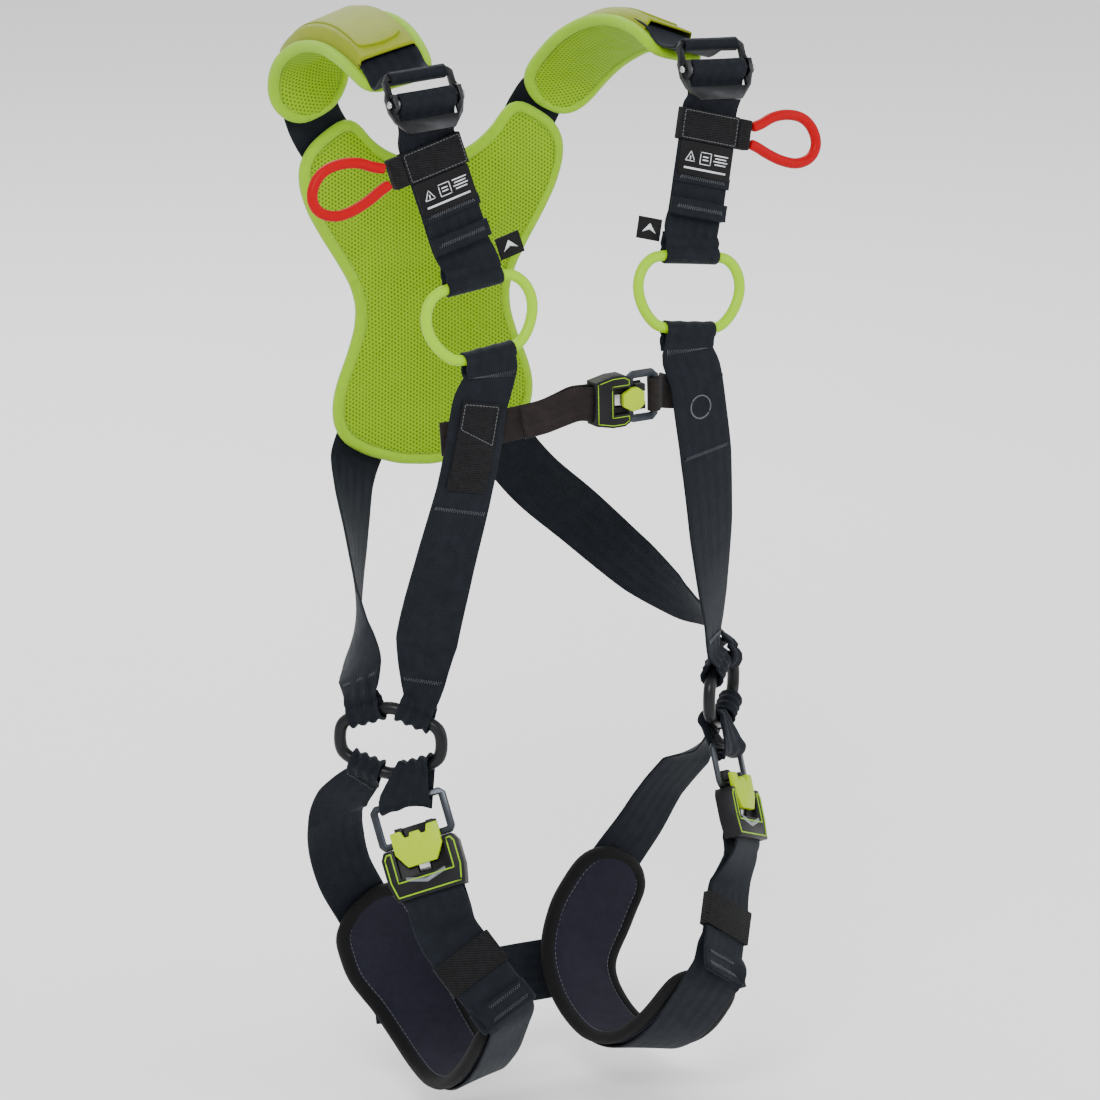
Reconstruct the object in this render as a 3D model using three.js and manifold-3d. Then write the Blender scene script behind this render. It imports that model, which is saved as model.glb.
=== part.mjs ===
// A full-body climbing and work harness as an assembly: padded shoulders, a butterfly back pad, padded leg
// loops, webbing, rings, slide adjusters and hook buckles.
// Millimetres. +X is the wearer's left, +Y the wearer's back, +Z up. The origin is the point between the
// shoulders that the harness hangs from, level with the top of the shoulder pads.
// Everything is laid out for the wearer's left side; the right side is its mirror image.
import * as THREE from 'three';
import { mergeVertices } from 'three/addons/utils/BufferGeometryUtils.js';
import Module from 'manifold-3d';

const wasm = await Module();
wasm.setup();

// Driving dimensions
const WEB_WIDTH = 45;
const WEB_THICKNESS = 2;
const CHEST_WEB_WIDTH = 25;
const LAYER_PITCH = 2.6; // from the middle of one layer of webbing to the middle of the next
const GATHERED_WIDTH = 26; // webbing bunched up round one side of a hip ring
const RING_WIRE = 4; // radius of the chest rings and the dorsal ring
const HIP_WIRE = 4.5;
const EYE_GAP = 0.6; // from a bar to the webbing folded round it
const PAD_THICKNESS = 7;
const LEG_PAD_THICKNESS = 8;
const BACK_PAD_FACE = 112; // y of the back pad's inner face
const BACK_PAD_THICKNESS = 8;
const CORD_RADIUS = 4;
const STEP = 13; // longest step along a piece of webbing
const FINE_STEP = 5; // the same, where two layers of a twisting strap lie close together

const vec = (x, y, z) => new THREE.Vector3(x, y, z);

// ---------- closed bodies ----------

// An indexed body, turned inside out if its volume comes out negative.
function closedBody(points, triangles) {
  let volume = 0;
  for (const [a, b, c] of triangles) {
    volume += points[a].dot(points[b].clone().cross(points[c]));
  }
  const geometry = new THREE.BufferGeometry();
  const flat = points.flatMap((point) => [point.x, point.y, point.z]);
  geometry.setAttribute('position', new THREE.Float32BufferAttribute(flat, 3));
  geometry.setIndex(triangles.flatMap(([a, b, c]) => (volume < 0 ? [a, c, b] : [a, b, c])));
  return geometry;
}

// Skin over rings of points that all have the same count. An open run gets flat ends.
function loft(rings, endless = false) {
  const sides = rings[0].length;
  const triangles = [];
  const spans = endless ? rings.length : rings.length - 1;
  for (let i = 0; i < spans; i += 1) {
    const here = i * sides;
    const next = ((i + 1) % rings.length) * sides;
    for (let j = 0; j < sides; j += 1) {
      const k = (j + 1) % sides;
      // Opposite faces are split the same way, so a twisted strap's two faces stay apart.
      if (j < sides / 2) {
        triangles.push([here + j, here + k, next + k], [here + j, next + k, next + j]);
      } else {
        triangles.push([here + j, here + k, next + j], [here + k, next + k, next + j]);
      }
    }
  }
  if (!endless) {
    const last = (rings.length - 1) * sides;
    for (let j = 1; j < sides - 1; j += 1) {
      triangles.push([0, j + 1, j], [last, last + j, last + j + 1]);
    }
  }
  return closedBody(rings.flat(), triangles);
}

// Only the corners of a geometry, each of them once.
function cornersOnly(geometry) {
  const plain = geometry.clone();
  for (const name of Object.keys(plain.attributes)) {
    if (name !== 'position') plain.deleteAttribute(name);
  }
  return mergeVertices(plain, 1e-4);
}

// The same body on the other side of the wearer.
function mirrored(geometry) {
  const copy = cornersOnly(geometry).scale(-1, 1, 1);
  const index = Array.from(copy.index.array);
  for (let i = 0; i < index.length; i += 3) {
    [index[i + 1], index[i + 2]] = [index[i + 2], index[i + 1]];
  }
  copy.setIndex(index);
  return copy;
}

const onSide = (geometry, side) => (side < 0 ? mirrored(geometry) : geometry);

// ---------- webbing, pads and other flat bands ----------

// A row of a route is [x, y, z, ax, ay, az, width]: a point on the middle of the band, the direction across
// it, and the band's width there if it differs from the usual one.
function sampleRoute(rows, width, step = STEP) {
  const places = new THREE.CatmullRomCurve3(rows.map((row) => vec(row[0], row[1], row[2])), false, 'centripetal');
  const stations = [];
  const spans = rows.length - 1;
  for (let i = 0; i <= spans; i += 1) {
    const next = rows[Math.min(i + 1, spans)];
    const distance = vec(next[0] - rows[i][0], next[1] - rows[i][1], next[2] - rows[i][2]).length();
    const count = i === spans ? 1 : Math.max(1, Math.round(distance / step));
    for (let j = 0; j < count; j += 1) {
      const share = j / count;
      const along = Math.min((i + share) / spans, 1);
      const across = vec(rows[i][3], rows[i][4], rows[i][5]).lerp(vec(next[3], next[4], next[5]), share);
      const tangent = places.getTangent(along);
      across.addScaledVector(tangent, -across.dot(tangent)).normalize();
      stations.push({
        place: places.getPoint(along),
        across,
        normal: tangent.clone().cross(across),
        width: THREE.MathUtils.lerp(rows[i][6] ?? width, next[6] ?? width, share),
      });
    }
  }
  return stations;
}

function band(rows, width, thickness, step) {
  const rings = sampleRoute(rows, width, step).map((station) => {
    const side = station.across.clone().multiplyScalar(station.width / 2);
    const face = station.normal.clone().multiplyScalar(thickness / 2);
    return [[1, 1], [-1, 1], [-1, -1], [1, -1]].map(([u, v]) => station.place.clone()
      .addScaledVector(side, u).addScaledVector(face, v));
  });
  return loft(rings);
}

// A route moved off itself along its face normal.
function offsetRoute(rows, distance, width) {
  const places = new THREE.CatmullRomCurve3(rows.map((row) => vec(row[0], row[1], row[2])), false, 'centripetal');
  return rows.map((row, i) => {
    const across = vec(row[3], row[4], row[5]);
    const tangent = places.getTangent(i / (rows.length - 1));
    across.addScaledVector(tangent, -across.dot(tangent)).normalize();
    const moved = places.points[i].clone().addScaledVector(tangent.clone().cross(across), distance);
    return [moved.x, moved.y, moved.z, row[3], row[4], row[5], width ?? row[6]];
  });
}

// Webbing that arrives at a bar from `from`, folds round it and comes back as a sewn tail. `face` is the side
// of the bar that the main layer passes on.
function eye({ bar, axis, from, face, barRadius, tail, width, lead }) {
  const across = axis.clone().normalize();
  const inward = from.clone().sub(bar);
  inward.addScaledVector(across, -inward.dot(across)).normalize();
  const up = inward.clone().cross(across).normalize();
  if (up.dot(face) < 0) up.negate();
  const radius = barRadius + EYE_GAP + WEB_THICKNESS / 2;
  const half = LAYER_PITCH / 2;
  const row = (along, out) => {
    const place = bar.clone().addScaledVector(inward, along).addScaledVector(up, out);
    return [place.x, place.y, place.z, across.x, across.y, across.z, width];
  };
  const reach = lead ?? 2.8 * radius;
  const rows = [row(reach, half), row(1.3 * radius, radius * 0.72)];
  for (let angle = 60; angle >= -240; angle -= 30) {
    const turn = THREE.MathUtils.degToRad(angle);
    rows.push(row(radius * Math.sin(turn), radius * Math.cos(turn)));
  }
  rows.push(row(1.3 * radius, -radius * 0.72), row(reach, -half), row(tail, -half));
  return rows;
}

// ---------- rings and cords ----------

// A wire bent to a closed polygon and mitred at its corners, so that each stretch of it is a true prism.
function wireRing(outline, radius, place, right, up, sides = 8) {
  const out = right.clone().cross(up).normalize();
  const rings = outline.map(([x, y], i) => {
    const before = outline[(i + outline.length - 1) % outline.length];
    const after = outline[(i + 1) % outline.length];
    const inward = new THREE.Vector2(x - before[0], y - before[1]).normalize();
    const onward = new THREE.Vector2(after[0] - x, after[1] - y).normalize();
    const along = inward.clone().add(onward).normalize();
    const stretch = 1 / along.dot(onward);
    const centre = place.clone().addScaledVector(right, x).addScaledVector(up, y);
    const radial = right.clone().multiplyScalar(along.y).addScaledVector(up, -along.x);
    return Array.from({ length: sides }, (_, j) => {
      const angle = ((j + 0.5) / sides) * 2 * Math.PI;
      return centre.clone().addScaledVector(radial, radius * Math.cos(angle) * stretch)
        .addScaledVector(out, radius * Math.sin(angle));
    });
  });
  return loft(rings, true);
}

// The whole outline of a ring whose left half mirrors the right half it is given, bottom to top.
const bothHalves = (half) => [...half, ...half.slice().reverse().map(([x, y]) => [-x, y])];

// ---------- joined and cut bodies for the hardware ----------

function toManifold(geometry) {
  const plain = cornersOnly(geometry);
  return new wasm.Manifold(new wasm.Mesh({
    numProp: 3,
    vertProperties: new Float32Array(plain.attributes.position.array),
    triVerts: new Uint32Array(plain.index.array),
  }));
}

function fromManifold(manifold) {
  const mesh = manifold.getMesh();
  const geometry = new THREE.BufferGeometry();
  geometry.setAttribute('position', new THREE.Float32BufferAttribute(Array.from(mesh.vertProperties), 3));
  geometry.setIndex(Array.from(mesh.triVerts));
  return geometry;
}

function combine(added, cut = []) {
  let solid = toManifold(added[0]);
  for (const geometry of added.slice(1)) solid = solid.add(toManifold(geometry));
  for (const geometry of cut) solid = solid.subtract(toManifold(geometry));
  return fromManifold(solid);
}

// A block between two corners.
function block([x0, y0, z0], [x1, y1, z1]) {
  const box = new THREE.BoxGeometry(x1 - x0, y1 - y0, z1 - z0);
  return box.translate((x0 + x1) / 2, (y0 + y1) / 2, (z0 + z1) / 2);
}

// An outline in x and y, extruded from z0 to z1.
function slab(points, z0, z1) {
  const shape = new THREE.Shape(points.map(([x, y]) => new THREE.Vector2(x, y)));
  return new THREE.ExtrudeGeometry(shape, { depth: z1 - z0, bevelEnabled: false }).translate(0, 0, z0);
}

// An outline in y and z, extruded from x0 to x1.
function sideSlab(points, x0, x1) {
  const turn = new THREE.Matrix4().makeBasis(vec(0, 1, 0), vec(0, 0, 1), vec(1, 0, 0));
  return slab(points, x0, x1).applyMatrix4(turn);
}

// A rod along x between two ends.
function rod(radius, x0, x1, y, z, sides = 12) {
  const cylinder = new THREE.CylinderGeometry(radius, radius, x1 - x0, sides);
  return cylinder.rotateZ(Math.PI / 2).translate((x0 + x1) / 2, y, z);
}

// Where a piece of hardware sits: its centre, the way along the webbing and the way its face looks. Its own x
// then runs across the webbing, y along it and z out of its face.
function seat(centre, along, face) {
  const y = along.clone().normalize();
  const z = face.clone().addScaledVector(y, -face.dot(y)).normalize();
  const x = y.clone().cross(z);
  const matrix = new THREE.Matrix4().makeBasis(x, y, z).setPosition(centre);
  const point = (u, v, w) => vec(u, v, w).applyMatrix4(matrix);
  return { centre, x, y, z, matrix, point };
}

const placed = (geometry, where) => geometry.clone().applyMatrix4(where.matrix);

// A row of a route at a place inside a piece of hardware.
function seatRow(where, along, out, width) {
  const place = where.point(0, along, out);
  return [place.x, place.y, place.z, where.x.x, where.x.y, where.x.z, width];
}

// ---------- where the hardware sits ----------

const ADJUSTER_BAR_Y = 17; // the frame's upper bar, which the shoulder strap is sewn round
const ADJUSTER_BAR_RADIUS = 2.6;
const ADJUSTER_SLIDE = { y: -2.5, z: 3.6, radius: 3 };
const HOOK_BAR = 2.5; // half the depth of a hook frame's bars
const LEG_SIZE = { half: 29, length: 41, reach: 29, tooth: 12, pocket: 18 };
const CHEST_SIZE = { half: 19, length: 33, reach: 20, tooth: 6.5, pocket: 9 };
const ADJUSTER = seat(vec(120, -88, -31), vec(0.05, 0.47, 0.88), vec(0.03, -0.88, 0.47));
const CHEST_RING = {
  centre: vec(86.5, -110, -190),
  right: vec(0.992, 0, -0.126).normalize(),
  up: vec(0.124, 0.17, 0.978).normalize(),
  halfHeight: 27,
};
const HIP_RING = { centre: vec(140, -71, -504), right: vec(0.707, 0.707, 0), up: vec(0, 0, 1) };
const LEG_BUCKLE = seat(vec(133.5, -99.5, -571.5), vec(0.05, 0.47, 0.88), vec(0.62, -0.72, 0.3));
const CHEST_BUCKLE = seat(vec(27, -127, -257), vec(1, 0, 0.02), vec(0, -1, 0));
const DORSAL = { x: 0, y: 136.6, z: -212, plate: 127.4 };

const CHEST_RING_HALF = [[21, -27], [30, -22.5], [38, -13.5], [43, -2], [43.5, 8], [40, 17.5], [33.5, 24], [25, 27]];
const HIP_RING_HALF = [[4, -25], [33, -15], [38.5, -8], [38.5, 8], [33, 15], [4, 25]];
// Middle of one of the hip ring's four sloping sides, and the way that side runs.
const HIP_SIDE = { out: 18.5, up: 20, run: [0.945, 0.326] };

const ringPoint = (ring, x, y) => ring.centre.clone().addScaledVector(ring.right, x).addScaledVector(ring.up, y);

// One side of the hip ring: `back` is +1 for the rear sides, `top` +1 for the upper ones.
function hipSide(back, top) {
  const axis = HIP_RING.right.clone().multiplyScalar(HIP_SIDE.run[0])
    .addScaledVector(HIP_RING.up, -back * top * HIP_SIDE.run[1]);
  return { bar: ringPoint(HIP_RING, back * HIP_SIDE.out, top * HIP_SIDE.up), axis };
}

const HIP_FACE = vec(0.707, -0.707, 0); // the way a hip ring's outer side looks

// ---------- pads ----------

// Shoulder pads from the rounded lobe at the back, over the shoulder, to the front end. The right one lies
// flatter and a little higher than the left one.
const SHOULDER_PAD = {
  right: [
    [97, 113, -79, 0.975, 0, -0.22, 46],
    [100, 113.5, -71, 0.975, 0, -0.22, 60],
    [105, 112, -54, 0.96, 0.04, -0.28, 68],
    [108, 100, -30, 0.95, 0.04, -0.3, 70],
    [108, 72, -11, 0.96, 0, -0.28, 70],
    [108, 38, -5, 0.96, 0, -0.28, 68],
    [110, 2, -9, 0.95, 0, -0.31, 65],
    [112, -26, -19, 0.94, 0, -0.34, 60],
    [113, -42, -29, 0.94, 0, -0.34, 52],
  ],
  left: [
    [98, 113, -92, 0.9, 0, -0.4, 46],
    [102, 112.5, -84, 0.93, 0, -0.36, 60],
    [107, 107, -70, 0.94, 0.04, -0.33, 68],
    [111, 90, -53, 0.94, 0.04, -0.33, 70],
    [113, 65, -37, 0.93, 0, -0.36, 70],
    [115, 36, -25, 0.92, 0, -0.4, 67],
    [117, 4, -20, 0.92, 0, -0.4, 63],
    [118, -24, -23, 0.93, 0, -0.36, 58],
    [118, -42, -31, 0.95, 0, -0.3, 50],
  ],
};

function shoulderPad(name) {
  return band(SHOULDER_PAD[name], WEB_WIDTH, PAD_THICKNESS);
}

const SHOULDER_STRAP_OFFSET = PAD_THICKNESS / 2 + 1.8 + WEB_THICKNESS / 2;
const COVER_THICKNESS = 1.6;
const COVER_OFFSET = SHOULDER_STRAP_OFFSET + WEB_THICKNESS / 2 + 1.2 + COVER_THICKNESS / 2;

function shoulderCover(name) {
  return band(offsetRoute(SHOULDER_PAD[name], COVER_OFFSET).slice(4, -1), WEB_WIDTH, COVER_THICKNESS);
}

// The butterfly outline of the back pad, from the middle of its bottom edge round to the middle of the neck.
const BACK_PAD_HALF = [
  [0, -355], [30, -351], [58, -341], [76, -330], [83, -318], [84, -303], [80, -287], [72, -268], [65.5, -247],
  [64.5, -228], [70, -209], [81, -189], [94, -168], [105, -148], [111, -129], [111, -114], [103, -101],
  [88, -91], [75, -84], [67, -88], [57, -101], [42, -112], [22, -120], [0, -123],
];

function backPad() {
  const outline = [...BACK_PAD_HALF, ...BACK_PAD_HALF.slice(1, -1).reverse().map(([x, z]) => [-x, z])];
  const geometry = slab(outline, -BACK_PAD_FACE - BACK_PAD_THICKNESS, -BACK_PAD_FACE);
  return geometry.rotateX(Math.PI / 2);
}

// Leg pad: a trough under the thigh, from behind the leg, past the crotch, to the front.
const LEG_PAD = [
  [113, 23, -655, 0.87, 0, -0.48, 50],
  [105, 27, -667, 0.87, 0, -0.48, 68],
  [88, 32, -700, 0.88, 0, -0.46, 76],
  [73, 25, -729, 0.92, 0, -0.38, 69],
  [68, 0, -753, 0.97, 0, -0.22, 67],
  [70, -38, -769, 0.985, -0.06, -0.14, 66],
  [75, -72, -766, 0.98, -0.12, -0.15, 66],
  [80, -104, -747, 0.96, -0.2, -0.18, 64],
  [84, -133, -715, 0.94, -0.24, -0.22, 58],
  [87, -145, -698, 0.94, -0.24, -0.22, 48],
];

function legPad() {
  return band(LEG_PAD, WEB_WIDTH, LEG_PAD_THICKNESS);
}

// ---------- webbing ----------

// From the opposite hip ring up the back, across to this side and over the shoulder to the adjuster. `layer`
// lifts the strap off the back pad where it passes over the other one.
function shoulderStrap(name, layer) {
  const hip = hipSide(1, 1);
  const hipEye = eye({
    bar: vec(-hip.bar.x, hip.bar.y, hip.bar.z),
    axis: vec(-hip.axis.x, hip.axis.y, hip.axis.z),
    from: vec(-151, -48, -450),
    face: vec(-HIP_FACE.x, HIP_FACE.y, HIP_FACE.z),
    barRadius: HIP_WIRE,
    lead: 13,
    tail: 14,
    width: GATHERED_WIDTH,
  }).reverse();
  const back = [
    [-148, -40, -458, -0.45, 0.78, -0.43, 40],
    [-137, -14, -447, -0.12, 0.69, -0.72],
    [-119, 18, -427, 0.3, 0.5, -0.8],
    [-96, 64, -396, 0.55, 0.35, -0.75],
    [-77, 102, -371, 0.76, 0.2, -0.62],
    [-65, 121.6, -348, 0.82, 0.02, -0.57],
    [-53, 123, -322, 0.88, 0, -0.47],
    [-38, 122.6 + layer / 2, -290, 0.9, 0, -0.43],
    [-17, 122.6 + layer, -245, 0.89, 0, -0.45],
    [3, 122.6 + layer, -207, 0.87, 0, -0.5],
    [28, 122.6 + layer, -170, 0.83, 0, -0.56],
    [56, 122.6 + layer / 2, -136, 0.82, 0, -0.57],
    [82, 122.4, -106, 0.87, 0, -0.49],
    [96, 121.4, -84, 0.95, 0, -0.31],
  ];
  const overPad = offsetRoute(SHOULDER_PAD[name], SHOULDER_STRAP_OFFSET, WEB_WIDTH).slice(2);
  const frontEye = eye({
    bar: ADJUSTER.point(0, ADJUSTER_BAR_Y, 0),
    axis: ADJUSTER.x,
    from: vec(115, -54, -24),
    face: ADJUSTER.z,
    barRadius: ADJUSTER_BAR_RADIUS,
    tail: 14,
  });
  return band([...hipEye, ...back, ...overPad, ...frontEye], WEB_WIDTH, WEB_THICKNESS);
}

// The main layer of a front strap below the adjuster, straight where the sleeve slides on it.
const FRONT_MAIN = [
  [117.5, -86, -60, 0.97, 0, -0.23],
  [110.5, -90.5, -86, 0.97, 0, -0.23],
  [103.5, -95, -112, 0.97, 0, -0.22],
  [96.5, -99.5, -138, 0.98, 0, -0.18],
];
const ADJUSTER_ROUTE = [
  [-18, -4.2], [-13, -3], [-9, 1.2], [-7.6, 4.6], [-5, 7.6], [-1.4, 8.2], [2.2, 7], [4, 3.8], [3, 0.4],
  [0, -1.7], [-6, -4], [-12, -5.9], [-18, -7],
];

// From its tail end up through the adjuster, round the slide bar and down to the chest ring.
function frontStrap() {
  const tail = offsetRoute(FRONT_MAIN, LAYER_PITCH).reverse();
  const through = ADJUSTER_ROUTE.map(([along, out]) => seatRow(ADJUSTER, along, out));
  const ring = eye({
    bar: ringPoint(CHEST_RING, 0, CHEST_RING.halfHeight),
    axis: CHEST_RING.right,
    from: vec(95, -101, -143),
    face: vec(0, -1, 0),
    barRadius: RING_WIRE,
    tail: 17,
  });
  return band([...tail, ...through, ...FRONT_MAIN, ...ring], WEB_WIDTH, WEB_THICKNESS);
}

// The part of a torso strap between its two eyes.
const TORSO_MAIN = [
  [89, -114.6, -250, 0.975, 0.03, 0.2],
  [95, -114, -282, 0.975, 0.04, 0.21],
  [101, -111.5, -314, 0.97, 0.06, 0.22],
  [112, -101, -372, 0.93, 0.25, 0.22],
  [121, -91, -428, 0.8, 0.55, 0.18],
];

// From the chest ring down the front of the body to the hip ring.
function torsoStrap() {
  const top = eye({
    bar: ringPoint(CHEST_RING, 0, -CHEST_RING.halfHeight),
    axis: CHEST_RING.right,
    from: vec(86, -115, -250),
    face: vec(0, -1, 0),
    barRadius: RING_WIRE,
    tail: 16,
    width: 41,
  }).reverse();
  const hip = hipSide(-1, 1);
  const bottom = eye({
    bar: hip.bar,
    axis: hip.axis,
    from: vec(122, -89, -450),
    face: HIP_FACE,
    barRadius: HIP_WIRE,
    lead: 13,
    tail: 14,
    width: GATHERED_WIDTH,
  });
  return band([...top, ...TORSO_MAIN, ...bottom], WEB_WIDTH, WEB_THICKNESS);
}

const LEG_STRAP_OFFSET = LEG_PAD_THICKNESS / 2 + 1.8 + WEB_THICKNESS / 2;
// The main layer of the leg strap between the pad's front end and the buckle.
const LEG_MAIN = [
  [91, -152, -691, 0.95, -0.14, -0.26],
  [99, -140, -678, 0.9, 0.3, -0.3],
  [109, -128.8, -659.6, 0.9, 0.3, -0.3],
  [119, -117.6, -641.2, 0.9, 0.3, -0.3],
];

// Rows of webbing that comes up behind a buckle's bar, folds round it and leaves in front.
function throughBuckle(where, length, width) {
  const route = [
    [-9, -8.6], [-1, -7.3], [3.4, -7.1], [6.6, -5.5], [7.7, -1.8], [6.2, 1.4], [3, 2.5], [-2, 2.5], [-9, -1.4],
  ];
  return route.map(([along, out]) => seatRow(where, along - length, out, width));
}

// From the hip ring down behind the thigh, under the pad and up to the leg buckle, then back as a tail.
function legStrap() {
  const hip = hipSide(1, -1);
  const top = eye({
    bar: hip.bar,
    axis: hip.axis,
    from: vec(158, -30, -540),
    face: HIP_FACE,
    barRadius: HIP_WIRE,
    lead: 13,
    tail: 20,
    width: 24,
  }).reverse();
  const behind = [
    [155, -26, -556, 0.87, 0.35, 0.33, 38],
    [150, -4, -578, 0.98, 0.06, -0.17],
    [139, 15, -605, 0.93, 0.17, -0.32],
    [127, 25, -632, 0.84, 0.12, -0.52],
  ];
  const under = offsetRoute(LEG_PAD, -LEG_STRAP_OFFSET, WEB_WIDTH).slice(1);
  const tail = offsetRoute(LEG_MAIN.slice(1), -LAYER_PITCH).reverse();
  const through = throughBuckle(LEG_BUCKLE, LEG_SIZE.length);
  return band([...top, ...behind, ...under, ...LEG_MAIN, ...through, ...tail], WEB_WIDTH, WEB_THICKNESS, FINE_STEP);
}

// A short loop of webbing round the hip ring and the leg buckle's hook frame; its ends meet at the back.
function buckleStrap() {
  const hip = hipSide(-1, -1);
  const lower = LEG_BUCKLE.point(0, LEG_SIZE.reach, 0);
  const down = lower.clone().sub(hip.bar);
  const radii = [HIP_WIRE, HOOK_BAR].map((radius) => radius + EYE_GAP + WEB_THICKNESS / 2);
  const arc = [0, 15, 30, 45, 60, 75, 90, 105, 120, 135, 150, 165, 180];
  // Each stop is an angle round the loop and a share of the way from the hip ring down to the frame.
  const stops = [
    [-180, 0.53],
    ...arc.map((degrees) => [degrees - 180, 1]),
    ...arc.map((degrees) => [degrees, 0]),
    [180, 0.47],
  ];
  const rings = stops.map(([degrees, share]) => {
    const angle = THREE.MathUtils.degToRad(degrees);
    const across = hip.axis.clone().lerp(LEG_BUCKLE.x, share).normalize();
    const level = down.clone().addScaledVector(across, -across.dot(down)).normalize();
    const radial = across.clone().cross(level).multiplyScalar(Math.cos(angle));
    radial.addScaledVector(level, -Math.sin(angle));
    const middle = hip.bar.clone().lerp(lower, share);
    const half = THREE.MathUtils.lerp(12, 19, share);
    const radius = THREE.MathUtils.lerp(...radii, share);
    return [[1, 1], [-1, 1], [-1, -1], [1, -1]].map(([u, v]) => middle.clone()
      .addScaledVector(across, half * u)
      .addScaledVector(radial, radius + (WEB_THICKNESS / 2) * v));
  });
  return loft(rings);
}

// From one leg pad to the other, behind the thighs.
function seatStrap() {
  const half = [
    [95, 40.5, -736, 0.11, 0.4, 0.9], [77, 35.8, -736, 0.11, 0.4, 0.9], [54, 30.5, -736, 0.08, 0.38, 0.92],
    [26, 28, -735, 0.03, 0.32, 0.95],
  ];
  const other = half.map(([x, y, z, ax, ay, az]) => [-x, y, z, -ax, ay, az]).reverse();
  return band([...half, [0, 27.5, -735, 0, 0.3, 0.95], ...other], WEB_WIDTH, WEB_THICKNESS);
}

// Behind the right torso strap, across the chest, through the buckle's body and back as a short tail.
function chestStrapRight() {
  const main = [
    [-118, -107.8, -275, 0.02, 0, -1], [-104, -110, -274, 0.02, 0, -1], [-90, -110.8, -273, 0.03, 0, -1],
    [-77, -111, -271.5, 0.05, 0, -1], [-67, -111.6, -270, 0.08, 0, -1], [-56, -115, -268, 0.1, 0, -1],
    [-40, -119.6, -264.5, 0.12, 0, -1],
  ];
  const tail = offsetRoute(main, -LAYER_PITCH).slice(5).reverse();
  const through = throughBuckle(CHEST_BUCKLE, CHEST_SIZE.length, CHEST_WEB_WIDTH);
  return band([...main, ...through, ...tail], CHEST_WEB_WIDTH, WEB_THICKNESS);
}

// From the hook frame's bar to behind the left torso strap.
function chestStrapLeft() {
  const frameEye = eye({
    bar: CHEST_BUCKLE.point(0, CHEST_SIZE.reach, 0),
    axis: CHEST_BUCKLE.x,
    from: vec(62, -113, -261),
    face: vec(0, -1, 0),
    barRadius: HOOK_BAR,
    tail: 13,
  }).reverse();
  const main = [
    [64, -111.2, -260, -0.12, 0, -1], [75, -110.4, -262, -0.1, 0, -1], [91, -110, -264, -0.05, 0, -1],
    [104, -109.2, -265, -0.02, 0, -1], [116, -107, -266, -0.02, 0, -1],
  ];
  return band([...frameEye, ...main], CHEST_WEB_WIDTH, WEB_THICKNESS);
}

// The sewn patch in front of the right torso strap where the chest strap passes behind it.
function chestPatch() {
  const rows = offsetRoute(TORSO_MAIN, WEB_THICKNESS / 2 + 1.1).slice(0, 3);
  return band(rows, 31, 1.2);
}

// ---------- sleeves, flags and cord loops ----------

// A sleeve round two layers of webbing, open at both ends: from `start` to `end` along the seat's y.
function sleeve(where, middle, start, end, width = WEB_WIDTH) {
  const wall = 1;
  const room = { x: width / 2 + 0.9, z: LAYER_PITCH / 2 + WEB_THICKNESS / 2 + 0.9 };
  const outer = block([-room.x - wall, start, middle - room.z - wall], [room.x + wall, end, middle + room.z + wall]);
  const inner = block([-room.x, start - 1, middle - room.z], [room.x, end + 1, middle + room.z]);
  return placed(combine([outer], [inner]), where);
}

const between = (a, b, share) => vec(a[0], a[1], a[2]).lerp(vec(b[0], b[1], b[2]), share);

// A seat on a straight stretch of webbing, with y up the strap and z out of its outer face.
function strapSeat(low, high) {
  const along = vec(high[0] - low[0], high[1] - low[1], high[2] - low[2]);
  const across = vec(low[3], low[4], low[5]);
  return seat(between(low, high, 0.5), along, across.cross(along));
}

const FRONT_SEAT = strapSeat(FRONT_MAIN[2], FRONT_MAIN[0]);
const LEG_SEAT = strapSeat(LEG_MAIN[1], LEG_MAIN[3]);
const SLEEVE = { start: 0, end: 23, middle: LAYER_PITCH / 2 };

function strapSleeve() {
  return sleeve(FRONT_SEAT, SLEEVE.middle, SLEEVE.start, SLEEVE.end);
}

function legKeeper() {
  return sleeve(LEG_SEAT, LAYER_PITCH / 2, -16, 10);
}

// The printed card that hangs from the sleeve over the strap's tail.
function strapCard() {
  const front = SLEEVE.middle + 4.2;
  return placed(block([-22.5, SLEEVE.start - 25, front - 0.9], [22.5, SLEEVE.start - 0.4, front]), FRONT_SEAT);
}

// The size flag sewn to the strap's inner edge above the chest ring.
function sizeFlag() {
  const inner = -WEB_WIDTH / 2 - 4;
  return placed(block([inner - 20, -76, -0.4], [inner, -60, 0.4]), FRONT_SEAT);
}

// The tab that holds a cord loop, standing out from the sleeve's outer edge.
const TAB = { inner: WEB_WIDTH / 2 + 2.4, outer: WEB_WIDTH / 2 + 13, low: 0.5, high: 22.5, depth: 9 };

function cordTab() {
  const half = TAB.depth / 2;
  const { inner, outer, low, high } = TAB;
  return placed(block([inner, low, SLEEVE.middle - half], [outer, high, SLEEVE.middle + half]), FRONT_SEAT);
}

// The stiff cord's route in the strap's own x and y, from one end at the tab's edge round to the other.
const CORD_ROUTE = [
  [2.6, 18], [10, 21.5], [19, 28], [33, 32.5], [47, 32], [57, 25.5], [62, 15], [59, 5.5], [48, -1], [34, -1.5],
  [19, 1.5], [10, 4.5], [2.6, 6],
];

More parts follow.
